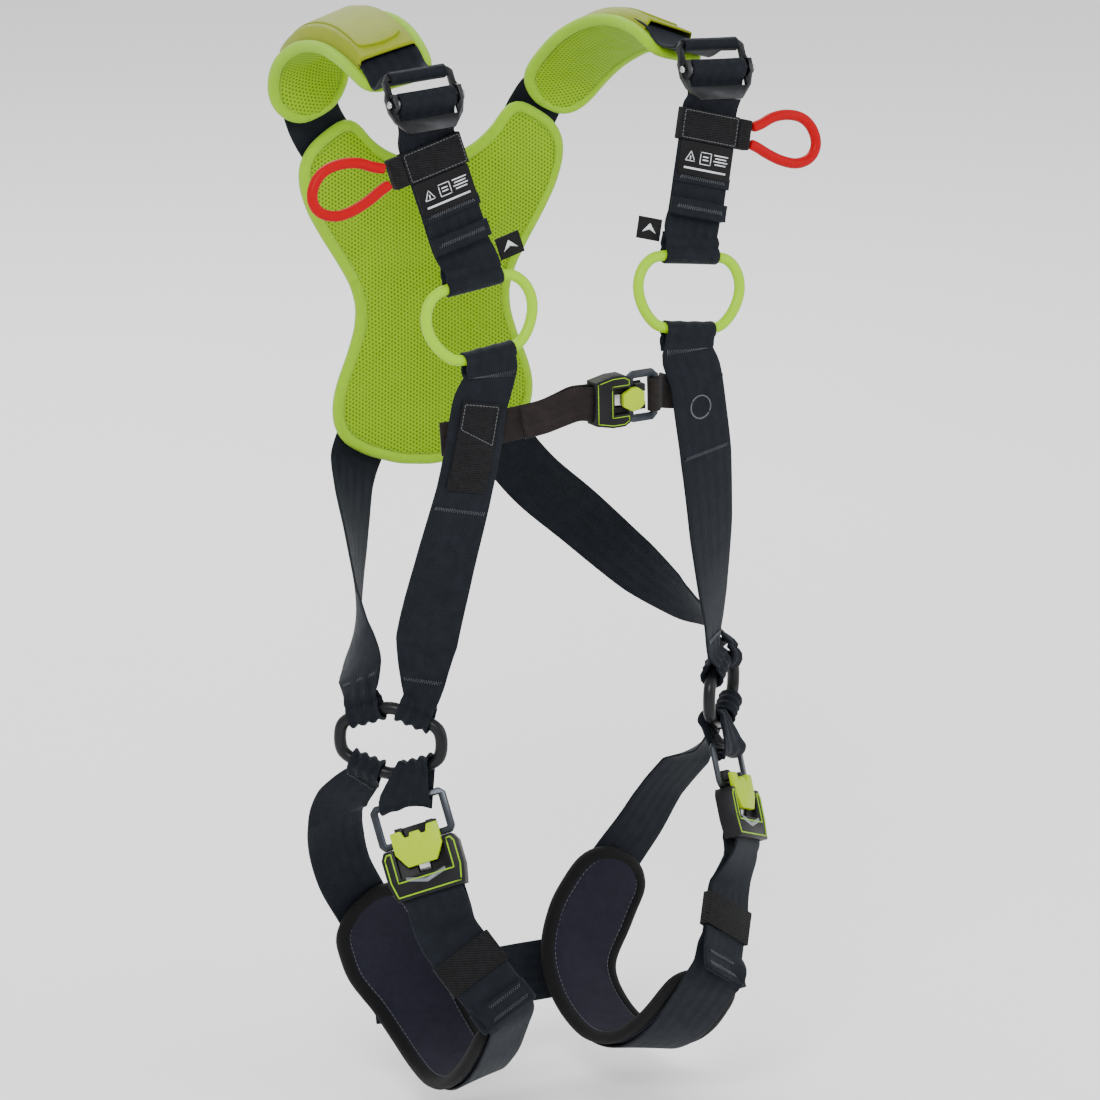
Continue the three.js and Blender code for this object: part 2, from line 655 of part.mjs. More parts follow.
function cordLoop() {
  const points = CORD_ROUTE.map(([x, y]) => {
    const back = x * 0.05;
    return FRONT_SEAT.point(TAB.outer + x, y, SLEEVE.middle - back);
  });
  const curve = new THREE.CatmullRomCurve3(points);
  const sides = 8;
  const circle = Array.from({ length: sides }, (_, j) => {
    const angle = (j / sides) * 2 * Math.PI;
    return new THREE.Vector2(CORD_RADIUS * Math.cos(angle), CORD_RADIUS * Math.sin(angle));
  });
  return new THREE.ExtrudeGeometry(new THREE.Shape(circle), { steps: 30, extrudePath: curve, bevelEnabled: false });
}

// ---------- slide adjuster ----------

function adjusterFrame() {
  const plate = slab([
    [-25, 19.2], [25, 19.2], [28, 16], [28, 8], [30, 3], [30, -7], [27, -15], [18, -25], [-18, -25], [-27, -15],
    [-30, -7], [-30, 3], [-28, 8], [-28, 16],
  ], -1.7, 1.7);
  const window = block([-23.6, -15, -5], [23.6, 15, 5]);
  const ears = [24.4, -27.4].map((inner) => sideSlab([[-10, 1], [6, 1], [3, 9], [-7, 9]], inner, inner + 3));
  const slots = block([-30, -4.3, 2.1], [30, 1, 5.3]);
  return placed(combine([plate, ...ears], [window, slots]), ADJUSTER);
}

// The bar that pinches the webbing, with a pin at each end that runs in the frame's slots.
function adjusterBar() {
  const barrel = rod(ADJUSTER_SLIDE.radius, -23.4, 23.4, ADJUSTER_SLIDE.y, ADJUSTER_SLIDE.z);
  const pins = rod(1.3, -29, 29, ADJUSTER_SLIDE.y, ADJUSTER_SLIDE.z, 8);
  return placed(combine([barrel, pins]), ADJUSTER);
}

// ---------- hook buckles ----------

// The body: a casing with a bar for the webbing, a pocket for the slider and a tongue with two hook posts. Its
// y = 0 is the middle of the hook frame's crossbar.
function buckleBody({ half, length, tooth, pocket }, where) {
  const casing = slab([
    [-half + 3, -3.6], [half - 3, -3.6], [half, -9], [half, 14 - length], [half - 3, -length],
    [3 - half, -length], [-half, 14 - length], [-half, -9],
  ], -5, 8.6);
  const web = half - 5.8;
  const slot = block([-web, 4.2 - length, -6], [web, 11.6 - length, 4.3]);
  const mouth = block([-web, -length - 1, 0.8], [web, 11.6 - length, 4.3]);
  const well = block([-pocket - 0.6, 15.5 - length, 4.2], [pocket + 0.6, 0, 9]);
  const springWell = block([-5, 16.5 - length, 1], [5, 25.5 - length, 5]);
  const tongue = block([-tooth - 4, -5, -5], [tooth + 4, 11, -2.7]);
  const posts = [-1, 1].map((end) => block(
    [end * tooth - 2.8, 3.2, -4], [end * tooth + 2.8, 11, 3.6],
  ));
  return placed(combine([casing, tongue, ...posts], [slot, mouth, well, springWell]), where);
}

// The release slider, flush in the body's pocket, its prongs over the hook frame's crossbar.
function buckleSlider(outline, where) {
  return placed(slab(outline, 4.7, 8.8), where);
}

// The leaf spring under the slider.
function buckleSpring({ length }, where) {
  const low = 17.2 - length;
  const leaf = [[0, 1.6], [7.4, 3.6], [7.4, 4.1], [-0.1, 2.1]].map(([y, z]) => [low + y, z]);
  return placed(sideSlab(leaf, -4, 4), where);
}

// The hook frame: a flat metal frame with a crossbar that the posts hold and a bar for the webbing.
function hookFrame({ half, reach }, where) {
  const low = -HOOK_BAR;
  const high = reach + HOOK_BAR;
  const plate = slab([
    [-half + 3, low], [half - 3, low], [half, low + 4], [half, high - 4], [half - 4, high],
    [4 - half, high], [-half, high - 4], [-half, low + 4],
  ], -1.6, 1.6);
  const window = block([5.6 - half, HOOK_BAR, -3], [half - 5.6, reach - HOOK_BAR, 3]);
  return placed(combine([plate], [window]), where);
}

// A W-shaped slider for the leg buckles and a six-sided one for the chest.
const LEG_SLIDER = [
  [-11, -19], [11, -19], [18, -8], [18, 8], [10, 8], [8, 2.6], [4.5, 2.6], [3.6, 5.4], [-3.6, 5.4],
  [-4.5, 2.6], [-8, 2.6], [-10, 8], [-18, 8], [-18, -8],
];
const CHEST_SLIDER = [[-4.5, -10], [4.5, -10], [8.5, -3], [8.5, 2], [4.5, 7.5], [-4.5, 7.5], [-8.5, 2], [-8.5, -3]];

// ---------- dorsal attachment ----------

// The plate over the crossing of the shoulder straps, with two lugs for the dorsal ring.
function dorsalPlate() {
  const plate = block([-31, DORSAL.plate, DORSAL.z - 40], [31, DORSAL.plate + 3, DORSAL.z + 34]);
  const lugs = [-1, 1].flatMap((end) => {
    const [low, high] = end < 0 ? [-25, -17] : [17, 25];
    return [
      rod(7.2, low, high, DORSAL.y, DORSAL.z, 24),
      block([low, DORSAL.plate + 1, DORSAL.z - 7.2], [high, DORSAL.y, DORSAL.z + 7.2]),
    ];
  });
  return combine([plate, ...lugs], [rod(4.7, -40, 40, DORSAL.y, DORSAL.z, 24)]);
}

// The ring hangs down from its straight bar.
const DORSAL_RING_HALF = [[12, -58], [22, -54], [29, -46], [33, -34], [34, -20], [34, -6], [32, 0]];

function dorsalRing() {
  const centre = vec(DORSAL.x, DORSAL.y, DORSAL.z);
  return wireRing(bothHalves(DORSAL_RING_HALF), RING_WIRE, centre, vec(1, 0, 0), vec(0, 0, 1));
}

// ---------- the assembly ----------

const FINISH = {
  webbing: { color: 0x25282d, roughness: 0.85, metalness: 0 },
  chestWebbing: { color: 0x2b2725, roughness: 0.85, metalness: 0 },
  elastic: { color: 0x17181a, roughness: 0.95, metalness: 0 },
  pad: { color: 0xa6cf3a, roughness: 0.9, metalness: 0 },
  cover: { color: 0xb9c21a, roughness: 0.85, metalness: 0 },
  legPad: { color: 0x23252e, roughness: 0.95, metalness: 0 },
  card: { color: 0x101114, roughness: 0.6, metalness: 0 },
  cord: { color: 0xe8242f, roughness: 0.5, metalness: 0 },
  ring: { color: 0xc3e000, roughness: 0.35, metalness: 0.2 },
  darkRing: { color: 0x17181a, roughness: 0.5, metalness: 0.2 },
  frame: { color: 0x2a2b2d, roughness: 0.4, metalness: 0.8 },
  steel: { color: 0xb9bcc0, roughness: 0.3, metalness: 1 },
  hook: { color: 0x55595e, roughness: 0.35, metalness: 0.9 },
  casing: { color: 0x2c2d30, roughness: 0.45, metalness: 0.1 },
  slider: { color: 0xe4e61a, roughness: 0.4, metalness: 0 },
};

const group = new THREE.Group();

function add(name, geometry, finish) {
  const mesh = new THREE.Mesh(geometry, new THREE.MeshStandardMaterial(finish));
  mesh.name = name;
  group.add(mesh);
}

// A ring's wire, from its half outline.
function ringWire(half, wire, { centre, right, up }) {
  return wireRing(bothHalves(half), wire, centre, right, up);
}

add('back_pad', backPad(), FINISH.pad);
add('seat_strap', seatStrap(), FINISH.webbing);
add('dorsal_plate', dorsalPlate(), FINISH.casing);
add('dorsal_ring', dorsalRing(), FINISH.steel);
add('chest_strap_right', chestStrapRight(), FINISH.chestWebbing);
add('chest_strap_left', chestStrapLeft(), FINISH.chestWebbing);
add('chest_patch', mirrored(chestPatch()), FINISH.elastic);
add('chest_buckle_body', buckleBody(CHEST_SIZE, CHEST_BUCKLE), FINISH.casing);
add('chest_buckle_slider', buckleSlider(CHEST_SLIDER, CHEST_BUCKLE), FINISH.slider);
add('chest_buckle_spring', buckleSpring(CHEST_SIZE, CHEST_BUCKLE), FINISH.steel);
add('chest_hook_frame', hookFrame(CHEST_SIZE, CHEST_BUCKLE), FINISH.hook);

for (const [name, side] of [['right', -1], ['left', 1]]) {
  const mine = (piece, geometry, finish) => add(`${piece}_${name}`, onSide(geometry, side), finish);
  mine('shoulder_pad', shoulderPad(name), FINISH.pad);
  mine('shoulder_cover', shoulderCover(name), FINISH.cover);
  mine('leg_pad', legPad(), FINISH.legPad);
  mine('shoulder_strap', shoulderStrap(name, side < 0 ? LAYER_PITCH + 0.4 : 0), FINISH.webbing);
  mine('front_strap', frontStrap(), FINISH.webbing);
  mine('torso_strap', torsoStrap(), FINISH.webbing);
  mine('leg_strap', legStrap(), FINISH.webbing);
  mine('buckle_strap', buckleStrap(), FINISH.webbing);
  mine('chest_ring', ringWire(CHEST_RING_HALF, RING_WIRE, CHEST_RING), FINISH.ring);
  mine('hip_ring', ringWire(HIP_RING_HALF, HIP_WIRE, HIP_RING), FINISH.darkRing);
  mine('strap_sleeve', strapSleeve(), FINISH.elastic);
  mine('strap_card', strapCard(), FINISH.card);
  mine('size_flag', sizeFlag(), FINISH.card);
  mine('cord_tab', cordTab(), FINISH.elastic);
  mine('cord_loop', cordLoop(), FINISH.cord);
  mine('leg_keeper', legKeeper(), FINISH.elastic);
  mine('adjuster_frame', adjusterFrame(), FINISH.frame);
  mine('adjuster_bar', adjusterBar(), FINISH.steel);
  mine('leg_buckle_body', buckleBody(LEG_SIZE, LEG_BUCKLE), FINISH.casing);
  mine('leg_buckle_slider', buckleSlider(LEG_SLIDER, LEG_BUCKLE), FINISH.slider);
  mine('leg_buckle_spring', buckleSpring(LEG_SIZE, LEG_BUCKLE), FINISH.steel);
  mine('leg_hook_frame', hookFrame(LEG_SIZE, LEG_BUCKLE), FINISH.hook);
}

export default group;
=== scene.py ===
# A full-body climbing and work harness: webbing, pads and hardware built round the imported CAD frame.
import math
from itertools import permutations

import bmesh
import bpy
import numpy as np
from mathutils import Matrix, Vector


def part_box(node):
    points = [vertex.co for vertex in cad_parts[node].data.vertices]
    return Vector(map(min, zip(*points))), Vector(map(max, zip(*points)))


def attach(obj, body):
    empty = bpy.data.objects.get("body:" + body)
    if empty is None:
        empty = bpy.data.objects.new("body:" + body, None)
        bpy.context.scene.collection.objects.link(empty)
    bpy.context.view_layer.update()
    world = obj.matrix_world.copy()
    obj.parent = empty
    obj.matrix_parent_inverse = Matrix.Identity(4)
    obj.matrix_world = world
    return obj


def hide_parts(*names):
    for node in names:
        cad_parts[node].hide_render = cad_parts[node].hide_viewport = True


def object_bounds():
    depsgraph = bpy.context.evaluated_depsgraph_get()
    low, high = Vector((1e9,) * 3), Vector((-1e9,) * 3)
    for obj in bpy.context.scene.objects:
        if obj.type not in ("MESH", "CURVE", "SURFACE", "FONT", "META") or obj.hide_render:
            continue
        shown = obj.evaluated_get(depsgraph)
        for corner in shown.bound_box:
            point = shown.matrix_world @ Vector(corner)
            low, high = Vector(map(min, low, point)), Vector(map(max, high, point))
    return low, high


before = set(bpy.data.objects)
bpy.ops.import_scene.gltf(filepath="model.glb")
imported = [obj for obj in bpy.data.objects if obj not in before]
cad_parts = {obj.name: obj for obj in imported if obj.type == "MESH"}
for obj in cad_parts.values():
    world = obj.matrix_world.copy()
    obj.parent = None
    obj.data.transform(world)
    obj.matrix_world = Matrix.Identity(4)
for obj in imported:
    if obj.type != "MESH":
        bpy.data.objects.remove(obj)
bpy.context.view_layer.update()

SIDES = {"right": -1, "left": 1}
MM = 0.001

# Driving sizes in metres
WEB_WIDTH = 45 * MM
WEB_THICKNESS = 1.9 * MM
CHEST_WEB_WIDTH = 25 * MM
THREAD = 0.34 * MM
BINDING = (4.6 * MM, 4.4 * MM)  # half width and half height of the pads' bound edge
LEG_BINDING = (5.4 * MM, 4.8 * MM)
PAD_LOFT = 5.2 * MM  # from a pad's middle to the top of its crowned panel, before it is blown up
PAD_EDGE = 2.2 * MM  # from a pad's middle to its panel's seam
BACK_PAD_EDGE = 1.6 * MM
DRAW_IN = 5 * MM  # how fast a pad's panel draws in to its seam
CLOTH_FRAMES = (1, 20)
CLOTH_PRESSURE = 4
SELVAGE = 3 * MM  # from a strap's edge to the end of a row of stitches
FOLD_STITCHES = 19 * MM  # half the length of the rows across a folded end
BEAD_SIDES = 12

# ---------- camera, light and floor ----------

CAMERA_TARGET = Vector((0.034, 0, -0.4))
CAMERA_DISTANCE = 5.0
CAMERA_AZIMUTH = math.radians(-30)
CAMERA_ELEVATION = math.radians(14.5)
CAMERA_LENS = 221
LIGHTS = {  # place, size and power
    "key": ((-2.2, -2.6, 2.4), 1.6, 150),
    "fill": ((2.8, -2.2, 0.8), 2.4, 45),
    "rim": ((0.5, 2.6, 2.0), 2.0, 80),
}
WORLD_STRENGTH = 1.05


def placed(name, data):
    """A new object in the scene."""
    obj = bpy.data.objects.new(name, data)
    bpy.context.scene.collection.objects.link(obj)
    return obj


def aim(obj, place, target):
    obj.location = place
    obj.rotation_euler = (target - place).to_track_quat("-Z", "Y").to_euler()


def add_camera():
    data = bpy.data.cameras.new("camera")
    data.lens = CAMERA_LENS
    data.sensor_width = 36
    camera = placed("camera", data)
    back = Vector((
        math.sin(CAMERA_AZIMUTH) * math.cos(CAMERA_ELEVATION),
        -math.cos(CAMERA_AZIMUTH) * math.cos(CAMERA_ELEVATION),
        math.sin(CAMERA_ELEVATION),
    ))
    aim(camera, CAMERA_TARGET + back * CAMERA_DISTANCE, CAMERA_TARGET)
    bpy.context.scene.camera = camera


def add_light(name, place, size, power):
    data = bpy.data.lights.new(name, "AREA")
    data.size = size
    data.energy = power
    aim(placed(name, data), Vector(place), CAMERA_TARGET)


def add_world():
    world = bpy.data.worlds.new("studio")
    world.use_nodes = True
    background = world.node_tree.nodes["Background"]
    background.inputs["Color"].default_value = (1, 1, 1, 1)
    background.inputs["Strength"].default_value = WORLD_STRENGTH
    bpy.context.scene.world = world


# ---------- materials ----------


class Nodes:
    """A few short words for building a node tree."""

    def __init__(self, name):
        self.material = bpy.data.materials.new(name)
        self.material.use_nodes = True
        self.tree = self.material.node_tree
        self.shader = self.tree.nodes["Principled BSDF"]

    def add(self, kind, inputs=(), **settings):
        node = self.tree.nodes.new(kind)
        for key, value in settings.items():
            setattr(node, key, value)
        for key, value in dict(inputs).items():
            self.feed(node.inputs[key], value)
        return node

    def feed(self, socket, value):
        if isinstance(value, bpy.types.NodeSocket):
            self.tree.links.new(value, socket)
        else:
            socket.default_value = value

    def math(self, operation, *values):
        return self.add("ShaderNodeMath", dict(enumerate(values)), operation=operation).outputs[0]

    def wave(self, coordinate, period, phase=0.0):
        """A sine of the coordinate with the given period in metres."""
        turned = self.math("MULTIPLY_ADD", coordinate, 2 * math.pi / period, phase)
        return self.math("SINE", turned)

    def noise(self, vector, scale, detail=2.0, roughness=0.5):
        inputs = {"Vector": vector, "Scale": scale, "Detail": detail, "Roughness": roughness}
        return self.add("ShaderNodeTexNoise", inputs).outputs["Fac"]

    def ramp(self, value, stops):
        """A colour ramp through (position, colour) stops."""
        node = self.add("ShaderNodeValToRGB", {"Fac": value})
        elements = node.color_ramp.elements
        while len(elements) < len(stops):
            elements.new(0.5)
        for element, (position, color) in zip(elements, stops):
            element.position = position
            element.color = (*color, 1)
        return node.outputs["Color"]

    def spread(self, value, low, high):
        """A value from 0..1 stretched to low..high."""
        return self.math("MULTIPLY_ADD", value, high - low, low)

    def bump(self, height, distance, strength=1.0):
        inputs = {"Height": height, "Distance": distance, "Strength": strength}
        node = self.add("ShaderNodeBump", inputs)
        self.feed(self.shader.inputs["Normal"], node.outputs["Normal"])

    def set(self, **inputs):
        for key, value in inputs.items():
            self.feed(self.shader.inputs[key.replace("_", " ")], value)

    def flat_map(self):
        """Metres across and along a strap or pad, and both as a vector."""
        uv = self.add("ShaderNodeUVMap", uv_map="UVMap").outputs["UV"]
        parts = self.add("ShaderNodeSeparateXYZ", {"Vector": uv})
        return parts.outputs["X"], parts.outputs["Y"], uv

    def place(self):
        return self.add("ShaderNodeTexCoord").outputs["Object"]


def mixed(low, high, share):
    return tuple(a + (b - a) * share for a, b in zip(low, high))


def webbing_material(name, dark, light, rib=1.5 * MM):
    """Woven polyester: ribs along the strap, crossed by a herringbone of picks, and a little wear."""
    nodes = Nodes(name)
    across, along, uv = nodes.flat_map()
    ribs = nodes.wave(across, rib)
    zigzag = nodes.math("PINGPONG", across, 3 * rib)
    slanted = nodes.math("ADD", along, zigzag)
    picks = nodes.wave(slanted, 1.25 * MM)
    weave = nodes.math("MULTIPLY_ADD", picks, 0.5, nodes.math("MULTIPLY", ribs, 0.35))
    mottle = nodes.noise(uv, 90, 4, 0.6)
    wear = nodes.noise(uv, 22, 3, 0.5)
    tone = nodes.math("ADD", nodes.math("MULTIPLY", weave, 0.4), nodes.spread(mottle, 0.05, 0.8))
    color = nodes.ramp(tone, [(0.05, dark), (0.6, mixed(dark, light, 0.5)), (1.0, light)])
    nodes.set(Base_Color=color, Roughness=nodes.spread(wear, 0.48, 0.72), Specular_IOR_Level=0.1)
    nodes.set(Sheen_Weight=0.04, Sheen_Roughness=0.4, Sheen_Tint=(0.6, 0.7, 0.9, 1))
    nodes.bump(weave, 0.2 * MM, 1.0)
    return nodes.material


def mesh_material(name, hole, yarn):
    """Spacer mesh: a lattice of small holes between yarns."""
    nodes = Nodes(name)
    across, along, uv = nodes.flat_map()
    pitch = 2.7 * MM
    lattice = nodes.wave(across, pitch, math.pi / 2)
    for side in (-1, 1):
        drawn = nodes.math("MULTIPLY", across, -0.5)
        slanted = nodes.math("MULTIPLY_ADD", along, side * math.sqrt(3) / 2, drawn)
        lattice = nodes.math("ADD", lattice, nodes.wave(slanted, pitch, math.pi / 2))
    cells = nodes.math("MULTIPLY_ADD", lattice, 1 / 4.5, 1 / 3)
    shade = nodes.noise(uv, 40, 4, 0.6)
    tone = nodes.math("MULTIPLY_ADD", nodes.math("SUBTRACT", shade, 0.5), 0.35, cells)
    color = nodes.ramp(tone, [(0.25, yarn), (0.55, mixed(yarn, hole, 0.35)), (0.95, hole)])
    nodes.set(Base_Color=color, Roughness=nodes.spread(shade, 0.62, 0.85), Specular_IOR_Level=0.12)
    nodes.set(Sheen_Weight=0.04, Sheen_Roughness=0.5)
    puckers = nodes.noise(uv, 55, 2, 0.5)
    nodes.bump(nodes.math("MULTIPLY_ADD", puckers, 3, nodes.math("MULTIPLY", cells, -1)), 0.45 * MM, 0.8)
    return nodes.material


def cloth_material(name, dark, light, thread=0.9 * MM, rough=(0.6, 0.85), sheen=0.3, depth=0.12 * MM):
    """Plain-woven or knitted cloth with soft mottling."""
    nodes = Nodes(name)
    across, along, uv = nodes.flat_map()
    weave = nodes.math("MULTIPLY", nodes.wave(across, thread), nodes.wave(along, thread))
    mottle = nodes.noise(uv, 160, 5, 0.65)
    broad = nodes.noise(uv, 18, 2, 0.5)
    tone = nodes.math("ADD", nodes.math("MULTIPLY", weave, 0.12), nodes.math("MULTIPLY_ADD", broad, 0.5,
                      nodes.math("MULTIPLY", mottle, 0.5)))
    color = nodes.ramp(tone, [(0.2, dark), (0.8, light)])
    nodes.set(Base_Color=color, Roughness=nodes.spread(mottle, *rough), Specular_IOR_Level=0.12)
    nodes.set(Sheen_Weight=sheen, Sheen_Roughness=0.5)
    nodes.bump(nodes.math("ADD", weave, nodes.math("MULTIPLY", mottle, 1.5)), depth, 0.8)
    return nodes.material


def elastic_material(name, dark, light):
    """Ribbed elastic: strong ribs across the strap."""
    nodes = Nodes(name)
    place = nodes.place()
    _, along, _ = nodes.flat_map()
    ribs = nodes.wave(along, 1.7 * MM)
    mottle = nodes.noise(place, 300, 4, 0.6)
    tone = nodes.math("MULTIPLY_ADD", ribs, 0.2, mottle)
    color = nodes.ramp(tone, [(0.2, dark), (0.8, light)])
    nodes.set(Base_Color=color, Roughness=nodes.spread(mottle, 0.7, 0.9), Sheen_Weight=0.03)
    nodes.set(Specular_IOR_Level=0.12)
    nodes.bump(ribs, 0.2 * MM, 0.8)
    return nodes.material


def coated_material(name, base, worn, metallic, rough=(0.3, 0.5), grain=900, gloss=0.3):
    """Coated metal or moulded plastic: fine grain, and rubbed edges."""
    nodes = Nodes(name)
    place = nodes.place()
    grains = nodes.noise(place, grain, 3, 0.55)
    cloud = nodes.noise(place, 45, 4, 0.6)
    edges = nodes.add("ShaderNodeNewGeometry").outputs["Pointiness"]
    rubbed = nodes.math("MULTIPLY", nodes.math("SUBTRACT", edges, 0.52), 7)
    rubbed = nodes.math("MULTIPLY", nodes.math("MAXIMUM", rubbed, 0), cloud)
    uneven = nodes.math("SUBTRACT", cloud, 0.5)
    tone = nodes.math("MINIMUM", nodes.math("MULTIPLY_ADD", uneven, 0.25, rubbed), 1)
    color = nodes.ramp(nodes.math("MAXIMUM", tone, 0), [(0.0, base), (1.0, worn)])
    nodes.set(Base_Color=color, Metallic=metallic, Specular_IOR_Level=gloss)
    nodes.set(Roughness=nodes.spread(grains, *rough))
    nodes.bump(grains, 0.05 * MM, 0.5)
    return nodes.material


def build_materials():
    lime = (0.29, 0.55, 0.0)
    shade = mixed(lime, (0.1, 0.2, 0), 0.4)
    return {
        "webbing": webbing_material("webbing", (0.002, 0.0028, 0.0045), (0.014, 0.018, 0.025)),
        "chest_webbing": webbing_material("chest_webbing", (0.006, 0.0045, 0.0045), (0.03, 0.023, 0.021),
                                          1.2 * MM),
        "pad_mesh": mesh_material("pad_mesh", (0.04, 0.09, 0.0), (0.2, 0.37, 0.0)),
        "binding": cloth_material("binding", shade, lime, 0.7 * MM, (0.5, 0.7), 0.1),
        "cover": cloth_material("cover", (0.15, 0.19, 0.0), (0.26, 0.31, 0.0), 0.5 * MM, (0.36, 0.52), 0.05,
                                0.05 * MM),
        "leg_lining": cloth_material("leg_lining", (0.006, 0.006, 0.012), (0.022, 0.022, 0.038), 0.6 * MM,
                                     (0.8, 0.95), 0.02, 0.2 * MM),
        "leg_binding": cloth_material("leg_binding", (0.001, 0.001, 0.0015), (0.006, 0.006, 0.007), 0.8 * MM,
                                      (0.6, 0.8), 0.02),
        "elastic": elastic_material("elastic", (0.0015, 0.0015, 0.002), (0.011, 0.011, 0.012)),
        "card": cloth_material("card", (0.0015, 0.0015, 0.002), (0.006, 0.006, 0.007), 0.3 * MM, (0.3, 0.45),
                               0.0, 0.03 * MM),
        "print": cloth_material("print", (0.5, 0.51, 0.53), (0.72, 0.73, 0.75), 0.3 * MM, (0.5, 0.7), 0.0,
                                0.02 * MM),
        "thread": cloth_material("thread", (0.06, 0.064, 0.07), (0.17, 0.18, 0.2), 0.3 * MM, (0.6, 0.8), 0.1),
        "lime_thread": cloth_material("lime_thread", shade, mixed(lime, (0.8, 0.9, 0.3), 0.35), 0.3 * MM,
                                      (0.6, 0.8), 0.1),
        "cord": coated_material("cord", (0.36, 0.0, 0.004), (0.4, 0.001, 0.005), 0.0, (0.35, 0.5), 500, 0.08),
        "bright_ring": coated_material("bright_ring", (0.27, 0.52, 0.0), (0.3, 0.54, 0.002), 0.0, (0.25, 0.4),
                                       700, 0.1),
        "dark_ring": coated_material("dark_ring", (0.0035, 0.004, 0.005), (0.05, 0.05, 0.055), 0.3,
                                     (0.28, 0.42)),
        "steel": coated_material("steel", (0.45, 0.45, 0.46), (0.75, 0.75, 0.75), 1.0, (0.18, 0.32), 1500),
        "adjuster": coated_material("adjuster", (0.02, 0.021, 0.023), (0.22, 0.22, 0.23), 0.85, (0.26, 0.4)),
        "hook": coated_material("hook", (0.02, 0.024, 0.03), (0.16, 0.17, 0.19), 0.8, (0.3, 0.45)),
        "plastic": coated_material("plastic", (0.004, 0.004, 0.005), (0.03, 0.03, 0.033), 0.0, (0.35, 0.55),
                                   900, 0.15),
        "slider": coated_material("slider", (0.33, 0.48, 0.0), (0.36, 0.5, 0.002), 0.0, (0.3, 0.45),
                                  700, 0.1),
        "plate": coated_material("plate", (0.12, 0.13, 0.15), (0.3, 0.32, 0.35), 0.5, (0.3, 0.45)),
    }


# ---------- reading bands from the CAD solids ----------


def welded(node):
    """A bmesh of a CAD node with its split corners joined."""
    shape = bmesh.new()
    shape.from_mesh(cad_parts[node].data)
    bmesh.ops.remove_doubles(shape, verts=shape.verts, dist=2e-5)
    return shape


def likely_caps(shape):
    """Flat pairs of triangles with a sharp rim, sharpest first, each as four corners in order."""
    found = []
    for edge in shape.edges:
        if edge.calc_face_angle(0) > 0.02:
            continue
        rim = [other for face in edge.link_faces for other in face.edges if other is not edge]
        found.append((min(other.calc_face_angle(0) for other in rim), edge))
    found.sort(key=lambda pair: -pair[0])
    for _, edge in found[:12]:
        one, two = edge.verts
        far = [next(v for v in face.verts if v not in edge.verts) for face in edge.link_faces]
        yield [one, far[0], two, far[1]]


def walk(ring):
    """The cross-sections of a band, from an end cap on, with matching corners."""
    seen = set(ring)
    rings = [ring]
    while True:
        near = [{edge.other_vert(corner) for edge in corner.link_edges} for corner in ring]
        ahead = set().union(*near) - seen
        if len(ahead) != 4:
            return rings
        orders = [order for order in permutations(ahead) if all(v in n for v, n in zip(order, near))]
        if not orders:
            return rings
        ring = min(orders, key=lambda order: sum((a.co - b.co).length for a, b in zip(rings[-1], order)))
        seen.update(ring)
        rings.append(ring)


def cross_sections(node):
    """A band's corners, as an array of cross-sections by four corners by three coordinates."""
    shape = welded(node)
    rings = max((walk(cap) for cap in likely_caps(shape)), key=len)
    points = np.array([[corner.co for corner in ring] for ring in rings])
    shape.free()
    if np.linalg.norm(points[0, 0] - points[0, 1]) < np.linalg.norm(points[0, 1] - points[0, 2]):
        points = np.roll(points, 1, axis=1)
    return points


def unit(vectors):
    return vectors / np.maximum(np.linalg.norm(vectors, axis=-1, keepdims=True), 1e-12)


class Band:
    """The course of a flat band: places along it, with the ways across it and out of its face there."""

    def __init__(self, place, across, half):
        self.place = place
        self.half = half
        steps = np.linalg.norm(np.diff(place, axis=0), axis=1)
        self.along = np.concatenate([[0], np.cumsum(steps)])
        self.tangent = unit(np.gradient(place, self.along, axis=0))
        lean = np.sum(across * self.tangent, axis=1, keepdims=True)
        self.across = unit(across - lean * self.tangent)
        self.normal = np.cross(self.tangent, self.across)

    @property
    def length(self):
        return self.along[-1]

    def at(self, distance):
        """The middle, the tangent, the way across and the normal at a distance along the band."""
        pick = [np.array([np.interp(distance, self.along, values[:, i]) for i in range(3)])
                for values in (self.place, self.tangent, self.across, self.normal)]
        return [pick[0], *(unit(vector) for vector in pick[1:])]

    def nearest(self, point):
        """How far along the band its closest place to a point is."""
        return self.along[np.argmin(np.linalg.norm(self.place - np.array(point), axis=1))]

    def side_towards(self, distance, direction):
        return 1 if np.dot(self.at(distance)[3], direction) > 0 else -1


def hermite(old, values, new):
    """Values carried smoothly from old to new parameters."""
    slopes = np.gradient(values, old, axis=0)
    index = np.clip(np.searchsorted(old, new, side="right") - 1, 0, len(old) - 2)
    span = old[index + 1] - old[index]
    t = (new - old[index]) / span
    shape = (len(new),) + (1,) * (values.ndim - 1)
    t, span = t.reshape(shape), span.reshape(shape)
    first = (1 + 2 * t) * (1 - t) ** 2 * values[index] + t * (1 - t) ** 2 * span * slopes[index]
    return first + t**2 * (3 - 2 * t) * values[index + 1] + t**2 * (t - 1) * span * slopes[index + 1]


def read_band(node, start, step=3 * MM):
    """The smooth course of a CAD band, from the end nearer to start."""
    corners = cross_sections(node)
    middle = corners.mean(axis=1)
    if np.linalg.norm(middle[-1] - start) < np.linalg.norm(middle[0] - start):
        corners = corners[::-1]
        middle = middle[::-1]
    across = corners[:, 0] + corners[:, 3] - corners[:, 1] - corners[:, 2]
    half = np.linalg.norm(across, axis=1) / 4
    old = np.concatenate([[0], np.cumsum(np.linalg.norm(np.diff(middle, axis=0), axis=1))])
    new = np.linspace(0, old[-1], max(int(old[-1] / step), 8))
    return Band(hermite(old, middle, new), unit(hermite(old, unit(across), new)), np.interp(new, old, half))


